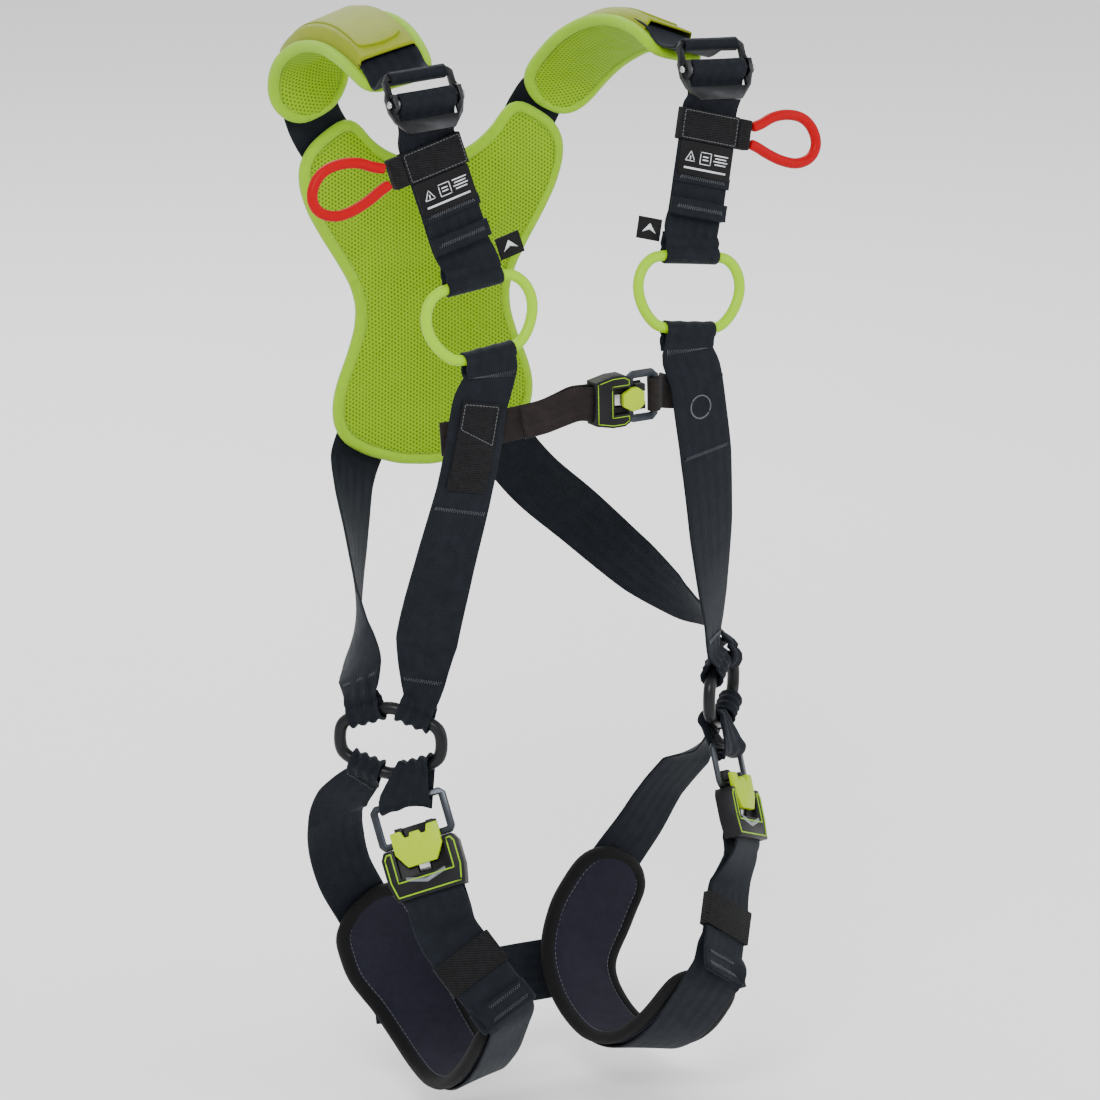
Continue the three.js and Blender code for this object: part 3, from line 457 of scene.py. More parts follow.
# The bars that a left buckle strap goes round: centre, way along it, the strap's radius and half width.
BUCKLE_STRAP_BARS = (
    ((0.12692, -0.08408, -0.524), (0.67, 0.67, -0.33), 6.4 * MM, 12 * MM),
    ((0.13495, -0.08585, -0.54595), (0.779, 0.5336, -0.3293), 4.4 * MM, 19 * MM),
)


def across_side(bar, side):
    """A left-hand bar, mirrored for the right."""
    centre, way, radius, half = bar
    return np.array(centre) * (side, 1, 1), unit(np.array(way) * (side, 1, 1)), radius, half


def belt(upper, lower):
    """The course of a short closed loop of webbing round two bars, its ends meeting at the back."""
    (start, start_way, start_radius, start_half), (end, end_way, end_radius, end_half) = upper, lower
    down = unit(end - start)
    out = unit(np.cross(start_way + end_way, down))
    out = out if out[1] < 0 else -out
    place, across, half = [], [], []
    for angle in np.linspace(-np.pi, np.pi, 73):
        share = min(max(0.5 - 0.9 * math.cos(angle - np.pi / 2), 0), 1)
        radius = start_radius + (end_radius - start_radius) * share
        centre = start + (end - start) * share
        place.append(centre + radius * (math.cos(angle) * out - math.cos(angle - np.pi / 2) * down))
        across.append(start_way + (end_way - start_way) * share)
        half.append(start_half + (end_half - start_half) * share)
    return Band(np.array(place), unit(np.array(across)), np.array(half))


# ---------- meshes ----------


def make_piece(name, points, faces, material, flat=None):
    """A mesh piece. flat holds each point's metres across and along, for the weave."""
    mesh = bpy.data.meshes.new(name)
    mesh.from_pydata([tuple(point) for point in points], [], faces)
    if flat is not None:
        layer = mesh.uv_layers.new(name="UVMap")
        corner = np.zeros(len(mesh.loops), dtype=np.int32)
        mesh.loops.foreach_get("vertex_index", corner)
        layer.data.foreach_set("uv", np.asarray(flat, dtype=np.float32)[corner].ravel())
    mesh.materials.append(material)
    mesh.shade_smooth()
    piece = placed(name, mesh)
    face_outwards(mesh)
    return piece


def face_outwards(mesh):
    shape = bmesh.new()
    shape.from_mesh(mesh)
    bmesh.ops.recalc_face_normals(shape, faces=shape.faces)
    shape.to_mesh(mesh)
    shape.free()


def settle(piece, body, slot, *nodes):
    """Puts a piece on its body and hides the CAD nodes it stands for. The slot is not used."""
    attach(piece, body)
    if nodes:
        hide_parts(*nodes)
    return piece


def tube_faces(count, sides, closed):
    """Quads between rings of points, and caps on an open run."""
    faces = []
    for i in range(count if closed else count - 1):
        here, ahead = i * sides, (i + 1) % count * sides
        for j in range(sides):
            k = (j + 1) % sides
            faces.append((here + j, here + k, ahead + k, ahead + j))
    if not closed:
        faces.append(tuple(range(sides)))
        faces.append(tuple(range((count - 1) * sides, count * sides)))
    return faces


def sweep(name, band, profile, material):
    """A closed body along a band. profile(i) gives offsets across and out of the face at station i."""
    rings = [np.asarray(profile(i)) for i in range(len(band.place))]
    points, flat = [], []
    for i, ring in enumerate(rings):
        offsets = np.outer(ring[:, 0], band.across[i]) + np.outer(ring[:, 1], band.normal[i])
        points.append(band.place[i] + offsets)
        flat.append(np.column_stack([ring[:, 0], np.full(len(ring), band.along[i])]))
    faces = tube_faces(len(rings), len(rings[0]), False)
    return make_piece(name, np.concatenate(points), faces, material, np.concatenate(flat))


def strip_section(half, thickness, columns=11, lift=None):
    """A flat strip's section with round edges. lift(u) moves it out of its face, with u from -1 to 1."""
    radius = thickness / 2
    inner = half - radius
    u = np.linspace(-1, 1, columns)
    raised = np.zeros(columns) if lift is None else lift(u)
    top = np.column_stack([u * inner, raised + radius])
    bottom = np.column_stack([u[::-1] * inner, raised[::-1] - radius])
    corner = radius * math.sqrt(0.5)
    ends = [[(side * (inner + corner), raised[-1] + corner), (side * half, raised[-1]),
             (side * (inner + corner), raised[-1] - corner)] for side in (1, -1)]
    return np.concatenate([top, ends[0], bottom, ends[1][::-1]])


def smoothed(values, reach):
    """A running mean over reach places each way."""
    kernel = np.ones(2 * reach + 1) / (2 * reach + 1)
    padded = np.pad(values, (reach, reach), mode="edge")
    return np.convolve(padded, kernel, mode="valid")


def outer_side(band):
    """+1 or -1 along the band, smoothly: the side of its face that bulges out where it bends."""
    bend = np.gradient(band.tangent, band.along, axis=0)
    turn = smoothed(np.sum(bend * band.normal, axis=1), 4)
    return -np.tanh(smoothed(turn, 3) / 20)


def webbing(name, band, full_width, material):
    """Woven webbing along a band: round selvages, folds where it is gathered and a slight unevenness."""
    outer = outer_side(band)
    gather = np.clip(1 - 2 * band.half / full_width, 0, 0.5)
    phase = len(name)

    def profile(i):
        fold = 5.2 * MM * gather[i] * outer[i]
        drift = 0.22 * MM * math.sin(band.along[i] / 0.037 + phase)

        def lift(u):
            return fold * (0.5 - 0.5 * np.cos(3 * np.pi * u)) + drift * (1 - u**2)

        return strip_section(band.half[i], WEB_THICKNESS, 15, lift)

    return sweep(name, band, profile, material)


def thread_tube(points, radius, sides=5):
    """Points and faces of a thin tube along a polyline."""
    points = np.asarray(points)
    tangent = unit(np.gradient(points, axis=0))
    helper = np.where(np.abs(tangent[:, 2:]) < 0.9, [[0, 0, 1]], [[1, 0, 0]])
    one = unit(np.cross(tangent, helper))
    two = np.cross(tangent, one)
    angles = np.linspace(0, 2 * np.pi, sides, endpoint=False)
    rings = [p + radius * (np.outer(np.cos(angles), a) + np.outer(np.sin(angles), b))
             for p, a, b in zip(points, one, two)]
    return np.concatenate(rings), tube_faces(len(points), sides, False)


def join_parts(name, parts, material):
    """One piece from several (points, faces)."""
    points, faces = [], []
    for part_points, part_faces in parts:
        offset = sum(len(p) for p in points)
        points.append(part_points)
        faces += [tuple(i + offset for i in face) for face in part_faces]
    all_points = np.concatenate(points)
    return make_piece(name, all_points, faces, material, all_points[:, [0, 2]])


def on_band(band, distance, u, side, height):
    """A point on a band's face: u metres off its middle, height above that face."""
    place, _, across, normal = band.at(distance)
    return place + across * u + normal * side * height


def zigzag(band, distance, side, half, height, depth=1.3 * MM, pitch=0.9 * MM):
    """A dense zigzag bartack across a band."""
    count = int(2 * half / pitch)
    points = []
    for i in range(count + 1):
        swing = depth if i % 2 else -depth
        points.append(on_band(band, distance + swing, -half + 2 * half * i / count, side, height))
    return thread_tube(points, THREAD)


def running_stitch(points_on, count):
    """Short stitches along a course. points_on(share) gives a place for a share from 0 to 1."""
    parts = []
    for i in range(count):
        ends = [points_on((i + part) / count) for part in (0.12, 0.5, 0.85)]
        parts.append(thread_tube(ends, THREAD, 4))
    return parts


def bead(name, points, normals, size, material):
    """A bound edge: an oval tube round a closed line, flat along the normals."""
    normals = unit(normals)
    tangent = unit(np.roll(points, -1, axis=0) - np.roll(points, 1, axis=0))
    outward = unit(np.cross(tangent, normals))
    angles = np.linspace(0, 2 * np.pi, BEAD_SIDES, endpoint=False)
    rings = [p + size[0] * np.outer(np.cos(angles), a) + size[1] * np.outer(np.sin(angles), b)
             for p, a, b in zip(points, outward, normals)]
    steps = np.linalg.norm(np.diff(points, axis=0), axis=1)
    along = np.concatenate([[0], np.cumsum(steps)])
    flat = [np.column_stack([angles * size[0], np.full(BEAD_SIDES, distance)]) for distance in along]
    faces = tube_faces(len(points), BEAD_SIDES, True)
    return make_piece(name, np.concatenate(rings), faces, material, np.concatenate(flat))


# ---------- carried-over hardware with rounded edges ----------


def flattened(node):
    """A bmesh of a CAD node with each of its flat faces in one piece."""
    shape = welded(node)
    bmesh.ops.dissolve_limit(shape, angle_limit=math.radians(1), verts=shape.verts, edges=shape.edges)
    return shape


def piece_from(shape, name, material):
    """A piece made from a bmesh, which is used up."""
    mesh = bpy.data.meshes.new(name)
    shape.to_mesh(mesh)
    shape.free()
    mesh.materials.append(material)
    return placed(name, mesh)


def rounded_copy(name, node, material, bevel):
    """A copy of a CAD node with its sharp edges rounded."""
    piece = piece_from(flattened(node), name, material)
    rounding = piece.modifiers.new("rounding", "BEVEL")
    rounding.width = bevel
    rounding.segments = 2
    rounding.limit_method = "ANGLE"
    rounding.angle_limit = math.radians(35)
    apply_modifiers(piece)
    piece.data.shade_smooth()
    piece.data.set_sharp_from_angle(angle=math.radians(40))
    map_by_box(piece.data)
    return piece


def map_by_box(mesh):
    """UVs in metres from each face's own plane, for weaves on copied hardware."""
    layer = mesh.uv_layers.get("UVMap") or mesh.uv_layers.new(name="UVMap")
    for face in mesh.polygons:
        drop = max(range(3), key=lambda axis: abs(face.normal[axis]))
        keep = [axis for axis in range(3) if axis != drop]
        for loop in face.loop_indices:
            place = mesh.vertices[mesh.loops[loop].vertex_index].co
            layer.data[loop].uv = (place[keep[0]], place[keep[1]])


def smooth_wire(name, node, material, swell):
    """A copy of a faceted wire or cord, made round and swollen back to its full thickness."""
    shape = welded(node)
    bmesh.ops.join_triangles(shape, faces=shape.faces, angle_face_threshold=0.6, angle_shape_threshold=3.2)
    piece = piece_from(shape, name, material)
    roundness = piece.modifiers.new("roundness", "SUBSURF")
    roundness.levels = 2
    apply_modifiers(piece)
    for corner in piece.data.vertices:
        corner.co += corner.normal * swell
    piece.data.shade_smooth()
    map_by_box(piece.data)
    return piece


def apply_modifiers(piece):
    """Makes the modifiers' result the piece's own mesh."""
    graph = bpy.context.evaluated_depsgraph_get()
    graph.update()
    result = bpy.data.meshes.new_from_object(piece.evaluated_get(graph))
    piece.modifiers.clear()
    piece.data = result


# ---------- webbing ----------

# The place each strap's course is read from. A left strap's place is mirrored for the right one.
SIDE_STRAP_STARTS = {
    "shoulder_strap": (0.12, -0.085, -0.02),
    "front_strap": (0.096, -0.106, -0.14),
    "torso_strap": (0.09, -0.11, -0.25),
    "leg_strap": (0.155, -0.04, -0.545),
}
CHEST_STRAP_STARTS = {"right": (-0.118, -0.108, -0.275), "left": (0.116, -0.107, -0.266)}
SEAT_STRAP_START = (-0.1, 0.03, -0.735)
OUTWARD = {"front": (0, -1, 0.1), "back": (0, 1, 0)}
LEG_TAIL_BELOW_KEEPER = 28 * MM
LEG_TAIL_RISE = 4 * MM
# The folds on a front strap's tail: start and end along it, and height.
FRONT_HEMS = {"low": (0.5 * MM, 12.5 * MM, 2.8 * MM), "high": (24 * MM, 32 * MM, 0.8 * MM)}
RING_BARTACK = 26 * MM  # from a ring's place on a torso strap to the bartack beside it
HIP_RING_FROM_END = 38 * MM
TORSO_BARTACK = {"right": 128 * MM, "left": 108 * MM}  # below the chest ring, clear of the patch
EYE_BARTACK = 62 * MM  # from a strap's sewn-down end, round the ring, to the bartack that closes its eye


def lengthened(band, extra, rise):
    """The band with a straight run added at its end, which rises out of its face."""
    tip, tangent, across, normal = band.at(band.length)
    runs = np.arange(3 * MM, extra, 3 * MM)
    place = tip + np.outer(runs, tangent) + np.outer(rise * (runs / extra) ** 2, normal)
    ways = np.tile(across, (len(runs), 1))
    half = np.append(band.half, np.full(len(runs), band.half[-1]))
    return Band(np.vstack([band.place, place]), np.vstack([band.across, ways]), half)


def hem(name, band, start, end, side, material, thickness=2.2 * MM):
    """A folded-over end of webbing, sewn down on the face it lies on."""
    count = 14
    distances = np.linspace(start, end, count)
    rows = [band.at(distance) for distance in distances]
    height = WEB_THICKNESS / 2 + thickness / 2 + 0.1 * MM
    place = np.array([row[0] + row[3] * side * height for row in rows])
    half = np.full(count, WEB_WIDTH / 2 + 1.3 * MM)
    folded = Band(place, np.array([row[2] for row in rows]), half)

    def profile(i):
        share = i / (count - 1)
        swell = 1 + 1.1 * math.exp(-((share / 0.14) ** 2)) + 0.7 * math.exp(-(((1 - share) / 0.12) ** 2))
        return strip_section(half[i], thickness * swell, 9)

    return sweep(name, folded, profile, material)


def read_straps():
    """Every strap's course, from its end nearer to the place given for it."""
    straps = {}
    for name, side in SIDES.items():
        for strap, (out, back, up) in SIDE_STRAP_STARTS.items():
            straps[f"{strap}_{name}"] = read_band(f"{strap}_{name}", (side * out, back, up))
        leg = straps[f"leg_strap_{name}"]
        rise = LEG_TAIL_RISE * leg.side_towards(leg.length - 20 * MM, OUTWARD["front"])
        straps[f"leg_strap_{name}"] = lengthened(leg, LEG_TAIL_BELOW_KEEPER, rise)
        straps[f"buckle_strap_{name}"] = belt(*(across_side(bar, side) for bar in BUCKLE_STRAP_BARS))
    straps["seat_strap"] = read_band("seat_strap", SEAT_STRAP_START)
    for name, start in CHEST_STRAP_STARTS.items():
        straps[f"chest_strap_{name}"] = read_band(f"chest_strap_{name}", start, 2 * MM)
    return straps


def build_webbing(straps, materials):
    for node, band in straps.items():
        narrow = node.startswith("chest")
        material = materials["chest_webbing" if narrow else "webbing"]
        piece = webbing(f"web_{node}", band, CHEST_WEB_WIDTH if narrow else WEB_WIDTH, material)
        settle(piece, "harness", "chest_webbing" if narrow else "webbing", node)


def build_stitching(straps, materials):
    """Folded ends and bartacks, where the straps are sewn back on themselves."""
    above = WEB_THICKNESS / 2 + THREAD * 0.4
    for name in SIDES:
        parts = []
        front = straps[f"front_strap_{name}"]
        side = front.side_towards(0.02, OUTWARD["front"])
        for place, (start, end, height) in FRONT_HEMS.items():
            fold = hem(f"hem_front_{place}_{name}", front, start, end, side, materials["webbing"], height)
            settle(fold, "harness", "webbing")
            parts.append(zigzag(front, (start + end) / 2, side, FOLD_STITCHES, above + height + 0.1 * MM))
        leg = straps[f"leg_strap_{name}"]
        end = leg.length
        side = leg.side_towards(end - 0.02, OUTWARD["front"])
        fold = hem(f"hem_leg_{name}", leg, end - 0.5 * MM, end - 18 * MM, side, materials["webbing"])
        settle(fold, "harness", "webbing")
        for distance in (end - 4.5 * MM, end - 14 * MM):
            parts.append(zigzag(leg, distance, side, FOLD_STITCHES, above + 2.5 * MM))
        torso = straps[f"torso_strap_{name}"]
        low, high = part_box(f"chest_ring_{name}")
        ring_top = torso.nearest((low + high) / 2)
        hip = torso.length - HIP_RING_FROM_END
        for distance in (ring_top + RING_BARTACK, ring_top + TORSO_BARTACK[name], hip - RING_BARTACK):
            half = np.interp(distance, torso.along, torso.half) - SELVAGE
            side = torso.side_towards(distance, OUTWARD["front"])
            parts.append(zigzag(torso, distance, side, half, above))
        shoulder = straps[f"shoulder_strap_{name}"]
        for band, distance in ((leg, EYE_BARTACK), (shoulder, shoulder.length - EYE_BARTACK)):
            half = np.interp(distance, band.along, band.half) - SELVAGE
            parts += [zigzag(band, distance, face, half, above) for face in (-1, 1)]
        settle(join_parts(f"stitches_{name}", parts, materials["thread"]), "harness", "webbing")
    left = straps["torso_strap_left"]
    distance = left.nearest((0.1, -0.112, -0.275))
    side = left.side_towards(distance, OUTWARD["front"])
    ring = [on_band(left, distance + 8.5 * MM * math.sin(turn), 8.5 * MM * math.cos(turn), side, above)
            for turn in np.linspace(0, 2 * np.pi, 33)]
    mark = join_parts("torso_round", [thread_tube(ring, 0.6 * MM)], materials["thread"])
    settle(mark, "harness", "webbing")
    seat = straps["seat_strap"]
    parts = []
    for inset in (8 * MM, 34 * MM):
        for distance in (inset, seat.length - inset):
            side = seat.side_towards(distance, OUTWARD["back"])
            parts.append(zigzag(seat, distance, side, WEB_WIDTH / 2 - SELVAGE, above))
    settle(join_parts("stitches_seat", parts, materials["thread"]), "harness", "webbing")
    patch = edge_stitches("patch_stitches", Face("chest_patch", (0, -1, 0)), 2 * MM, materials["thread"])
    settle(patch, "harness", "elastic")


# ---------- pads ----------


def inflate(piece, seam, cap=1.6 * MM):
    """Blows a pad's cover up with cloth simulation, its seam held, and keeps the result."""
    scene = bpy.context.scene
    rest = [corner.co.copy() for corner in piece.data.vertices]
    piece.vertex_groups.new(name="seam").add(seam, 1, "REPLACE")
    cloth = piece.modifiers.new("cloth", "CLOTH")
    cloth.settings.vertex_group_mass = "seam"
    cloth.settings.use_pressure = True
    cloth.settings.uniform_pressure_force = CLOTH_PRESSURE
    cloth.settings.effector_weights.gravity = 0
    cloth.collision_settings.use_collision = False
    cloth.point_cache.frame_start = CLOTH_FRAMES[0]
    cloth.point_cache.frame_end = CLOTH_FRAMES[1]
    for step in range(CLOTH_FRAMES[0], CLOTH_FRAMES[1] + 1):
        scene.frame_set(step)
    apply_modifiers(piece)
    scene.frame_set(CLOTH_FRAMES[0])
    for corner, start in zip(piece.data.vertices, rest):
        moved = corner.co - start
        if moved.length > cap:
            corner.co = start + moved * (cap / moved.length)
    piece.modifiers.new("fineness", "SUBSURF").levels = 1
    apply_modifiers(piece)
    piece.data.shade_smooth()


def round_ends(band, first, last):
    """The band's half width with its ends rounded over the given lengths."""
    half = band.half.copy()
    for i, distance in enumerate(band.along):
        for from_end, reach, edge in ((distance, first, 0), (band.length - distance, last, -1)):
            if reach and from_end < reach:
                inner = np.interp(reach if edge == 0 else band.length - reach, band.along, band.half)
                share = max(1 - from_end / reach, 0)
                half[i] = inner * math.sqrt(max(1 - share**2.2, 0.0004))
    return half


def pad_rim(band, half, inset):
    """The closed line round a pad, and the pad's normals along it."""
    keep = half > 2 * inset
    reach = half[keep] - inset
    left = band.place[keep] + band.across[keep] * reach[:, None]
    right = band.place[keep] - band.across[keep] * reach[:, None]
    points = np.concatenate([left, right[::-1]])
    normals = np.concatenate([band.normal[keep], band.normal[keep][::-1]])
    return even_loop(points, normals, 4 * MM)


def seam_stitches(name, points, normals, height, material):
    """Stitches along a closed seam on both faces of a pad, one every few millimetres."""
    parts = []
    for i in range(len(points)):
        ahead = (i + 1) % len(points)
        for face in (-1, 1):
            lift = face * height
            ends = [points[i] + normals[i] * lift, points[i] + (points[ahead] - points[i]) * 0.62
                    + normals[i] * lift]
            middle = (ends[0] + ends[1]) / 2 + normals[i] * face * 0.25 * MM
            parts.append(thread_tube([ends[0], middle, ends[1]], THREAD, 4))
    return join_parts(name, parts, material)


def even_loop(points, normals, step):
    """A closed line with even steps and a little smoothing."""
    points = np.vstack([points, points[:1]])
    normals = np.vstack([normals, normals[:1]])
    old = np.concatenate([[0], np.cumsum(np.linalg.norm(np.diff(points, axis=0), axis=1))])
    new = np.linspace(0, old[-1], int(old[-1] / step), endpoint=False)
    places = np.column_stack([np.interp(new, old, points[:, i]) for i in range(3)])
    ways = np.column_stack([np.interp(new, old, normals[:, i]) for i in range(3)])
    for _ in range(3):
        places = 0.5 * places + 0.25 * (np.roll(places, 1, axis=0) + np.roll(places, -1, axis=0))
    return places, ways


def crowned_section(half, loft, edge, columns=21):
    """A pad's section: crowned faces that draw in to a seam at each edge."""
    u = np.linspace(-1, 1, columns)
    inset = (1 - np.abs(u)) * half
    swell = edge + (loft - edge) * (1 - np.exp(-inset / DRAW_IN))
    top = np.column_stack([u * half, swell])
    bottom = np.column_stack([u[::-1] * half, -swell[::-1]])
    return np.concatenate([top, bottom])


def band_pad(name, node, start, ends, binding, colors, slot, materials):
    """A padded strip: a crowned panel and its bound edge."""
    band = read_band(node, start, 3 * MM)
    half = round_ends(band, *ends)
    inner = np.maximum(half - binding[0], 0.5 * MM)

    def profile(i):
        return crowned_section(inner[i], PAD_LOFT, PAD_EDGE)

    panel = sweep(f"{name}_panel", band, profile, materials[colors[0]])
    columns = len(profile(0))
    seam = [i for i in range(len(panel.data.vertices)) if i % (columns // 2) in (0, columns // 2 - 1)]
    inflate(panel, seam + list(range(columns)) + list(range(len(panel.data.vertices) - columns,
                                                            len(panel.data.vertices))))
    settle(panel, "harness", slot, node)
    rim, ways = pad_rim(band, half, binding[0])
    settle(bead(f"{name}_binding", rim, ways, binding, materials[colors[1]]), "harness", slot)
    inner_rim, ways = pad_rim(band, half, 2 * binding[0] - 0.8 * MM)
    settle(seam_stitches(f"{name}_seam", inner_rim, ways, 3.6 * MM, materials[colors[2]]), "harness", slot)
    return band


def build_shoulder_pads(materials):
    for name, side in SIDES.items():
        colors = ("pad_mesh", "binding", "lime_thread")
        band = band_pad(f"shoulder_pad_{name}", f"shoulder_pad_{name}", (side * 0.1, 0.113, -0.09),
                        (30 * MM, 8 * MM), BINDING, colors, "pad_mesh", materials)
        build_cover(name, band, materials)


COVER_EDGE_RISE = 3.4 * MM  # from the pad's middle to the cover's edge
COVER_ARCH = 9 * MM  # from the cover's edge to its crown
COVER_THICKNESS = 1.3 * MM
COVER_FLAT_HALF = 20 * MM  # half width of the cover's flat crown
COVER_PANEL_RISE = 12.6 * MM  # from the pad's middle to the middle of the raised panel
COVER_PANEL_HALF = 17 * MM


def build_cover(name, pad, materials):
    """The smooth panel over the strap along a shoulder pad, arched over the webbing."""
    top = pad.side_towards(pad.length / 2, (0, 0, 1))
    keep = (pad.along > 0.05) & (pad.along < pad.length - 0.02)
    arch = Band(pad.place[keep], pad.across[keep], pad.half[keep] - 7 * MM)

    def profile(i):
        half = arch.half[i]
        u = np.linspace(-1, 1, 19)
        fall = np.clip((np.abs(u) * half - COVER_FLAT_HALF) / (half - COVER_FLAT_HALF), 0, 1)
        rise = COVER_EDGE_RISE + COVER_ARCH * (1 - fall**2 * (3 - 2 * fall))
        upper = np.column_stack([u * half, top * rise])
        lower = np.column_stack([u[::-1] * half, top * (rise[::-1] - COVER_THICKNESS)])
        return np.concatenate([upper, lower])

    piece = sweep(f"shoulder_cover_{name}", arch, profile, materials["cover"])
    settle(piece, "harness", "cover", f"shoulder_cover_{name}")
    settle(cover_panel(name, pad, top, materials["cover"]), "harness", "cover")
    parts = []
    for side in (-1, 1):
        def edge(share, side=side):
            distance = (0.03 + 0.94 * share) * arch.length
            half = np.interp(distance, arch.along, arch.half) - 3 * MM
            return on_band(arch, distance, side * half, top, 4.1 * MM)
        parts += running_stitch(edge, int(arch.length / (3.4 * MM)))
    settle(join_parts(f"cover_stitches_{name}", parts, materials["lime_thread"]), "harness", "cover")


def cover_panel(name, pad, top, material):
    """The raised panel with round corners on the crown of a shoulder cover."""
    keep = (pad.along > 0.06) & (pad.along < pad.length - 0.03)
    place = pad.place[keep] + pad.normal[keep] * top * COVER_PANEL_RISE
    crown = Band(place, pad.across[keep], np.full(len(place), COVER_PANEL_HALF))
    half = np.maximum(round_ends(crown, 9 * MM, 9 * MM), 1.5 * MM)
    return sweep(f"cover_panel_{name}", crown, lambda i: strip_section(half[i], 2 * MM, 9), material)


def build_leg_pads(materials):
    for name, side in SIDES.items():
        band_pad(f"leg_pad_{name}", f"leg_pad_{name}", (side * 0.113, 0.023, -0.655), (26 * MM, 18 * MM),
                 LEG_BINDING, ("leg_lining", "leg_binding", "thread"), "leg_pad", materials)


def build_back_pad(materials):
    """The butterfly back pad, from the outline of its CAD solid."""
    low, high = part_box("back_pad")
    middle = (low.y + high.y) / 2
    centre = np.array([0, middle, -0.205])
    shape = welded("back_pad")
    rim = np.array([corner.co for corner in shape.verts if corner.co.y < middle])
    shape.free()
    rim[:, 1] = middle
    rim = rim[np.argsort(np.arctan2(rim[:, 2] - centre[2], rim[:, 0]))]
    inset = 1 - BINDING[0] / np.linalg.norm(rim - centre, axis=1, keepdims=True)
    line, ways = even_loop(centre + (rim - centre) * inset, np.tile([0.0, 1.0, 0.0], (len(rim), 1)), 4 * MM)
    settle(bead("back_pad_binding", line, ways, BINDING, materials["binding"]), "harness", "pad_mesh")
    inset = 1 - BINDING[0] / np.linalg.norm(line - centre, axis=1, keepdims=True)
    inner_line = centre + (line - centre) * inset
    seam = seam_stitches("back_pad_seam", inner_line, ways, 3.4 * MM, materials["lime_thread"])
    settle(seam, "harness", "pad_mesh")
    shares = np.concatenate([np.linspace(0.06, 0.8, 8), np.linspace(0.83, 0.985, 7)])
    build_back_panel(centre, line, shares, materials)


def build_back_panel(centre, line, shares, materials):
    """The crowned mesh panel inside the back pad's binding: rings of points on both faces."""
    count = len(line)
    reach = np.linalg.norm(line - centre, axis=1)
    points, flat = [], []
    for face in (-1, 1):
        for share in shares:
            places = centre + (line - centre) * share
            edge = reach * (1 - share)
            swell = BACK_PAD_EDGE + (PAD_LOFT - BACK_PAD_EDGE) * (1 - np.exp(-edge / DRAW_IN))
            places[:, 1] += face * swell
            points.append(places)
            flat.append(places[:, [0, 2]])
    rows = len(shares)
    faces = []
    for face in (0, 1):
        base = face * rows * count
        for i in range(rows - 1):
            for j in range(count):
                k = (j + 1) % count
                here, ahead = base + i * count, base + (i + 1) * count
                faces.append((here + j, here + k, ahead + k, ahead + j))
        faces.append(tuple(base + j for j in range(count)))
    rims = [(rows - 1) * count, (2 * rows - 1) * count]
    faces += [(rims[0] + j, rims[0] + (j + 1) % count, rims[1] + (j + 1) % count, rims[1] + j)
              for j in range(count)]
    panel = make_piece("back_pad_panel", np.concatenate(points), faces, materials["pad_mesh"],
                       np.concatenate(flat))
    inflate(panel, [rim + j for rim in rims for j in range(count)])
    settle(panel, "harness", "pad_mesh", "back_pad")


# ---------- hardware and trim ----------


def build_rings(materials):
    for name in SIDES:
        ring = smooth_wire(f"ring_chest_{name}", f"chest_ring_{name}", materials["bright_ring"], 0.35 * MM)
        settle(ring, f"chest_ring_{name}", "bright_ring", f"chest_ring_{name}")
        ring = smooth_wire(f"ring_hip_{name}", f"hip_ring_{name}", materials["dark_ring"], 0.6 * MM)
        settle(ring, "harness", "dark_ring", f"hip_ring_{name}")
        loop = smooth_wire(f"loop_{name}", f"cord_loop_{name}", materials["cord"], 0.3 * MM)
        settle(loop, f"sleeve_{name}", "cord", f"cord_loop_{name}")
    ring = smooth_wire("ring_dorsal", "dorsal_ring", materials["steel"], 0.35 * MM)
    settle(ring, "dorsal_ring", "steel", "dorsal_ring")


# Each copied CAD node: its body, its material and slot, and how much its edges are rounded.
HARDWARE = {
    "dorsal_plate": ("harness", "plastic", "plastic", 0.9 * MM),
    "chest_buckle_body": ("harness", "plastic", "plastic", 1.2 * MM),
    "chest_buckle_slider": ("chest_slider", "slider", "slider", 0.6 * MM),
    "chest_buckle_spring": ("harness", "steel", "spring", 0.1 * MM),
    "chest_hook_frame": ("chest_hook", "hook", "hook", 0.8 * MM),
    "chest_patch": ("harness", "elastic", "elastic", 0.4 * MM),
}
SIDE_HARDWARE = {
    "adjuster_frame": ("harness", "adjuster", "adjuster", 0.8 * MM),
    "adjuster_bar": ("adjuster_bar_{}", "steel", "steel", 0.3 * MM),
    "leg_buckle_body": ("harness", "plastic", "plastic", 1.6 * MM),
    "leg_buckle_slider": ("leg_slider_{}", "slider", "slider", 0.7 * MM),
    "leg_buckle_spring": ("harness", "steel", "spring", 0.1 * MM),
    "leg_hook_frame": ("leg_hook_{}", "hook", "hook", 0.9 * MM),
    "strap_sleeve": ("sleeve_{}", "elastic", "elastic", 0.5 * MM),
    "strap_card": ("sleeve_{}", "card", "card", 0.3 * MM),
    "size_flag": ("harness", "card", "card", 0.2 * MM),
    "cord_tab": ("sleeve_{}", "elastic", "elastic", 1.2 * MM),
    "leg_keeper": ("leg_keeper_{}", "elastic", "elastic", 0.5 * MM),
}


def build_hardware(materials):
    pieces = dict(HARDWARE)
    for name in SIDES:
        for node, (body, *rest) in SIDE_HARDWARE.items():
            pieces[f"{node}_{name}"] = (body.format(name), *rest)
    for node, (body, material, slot, bevel) in pieces.items():
        settle(rounded_copy(f"{node}_shell", node, materials[material], bevel), body, slot, node)


# ---------- details laid on the hardware's flat faces ----------


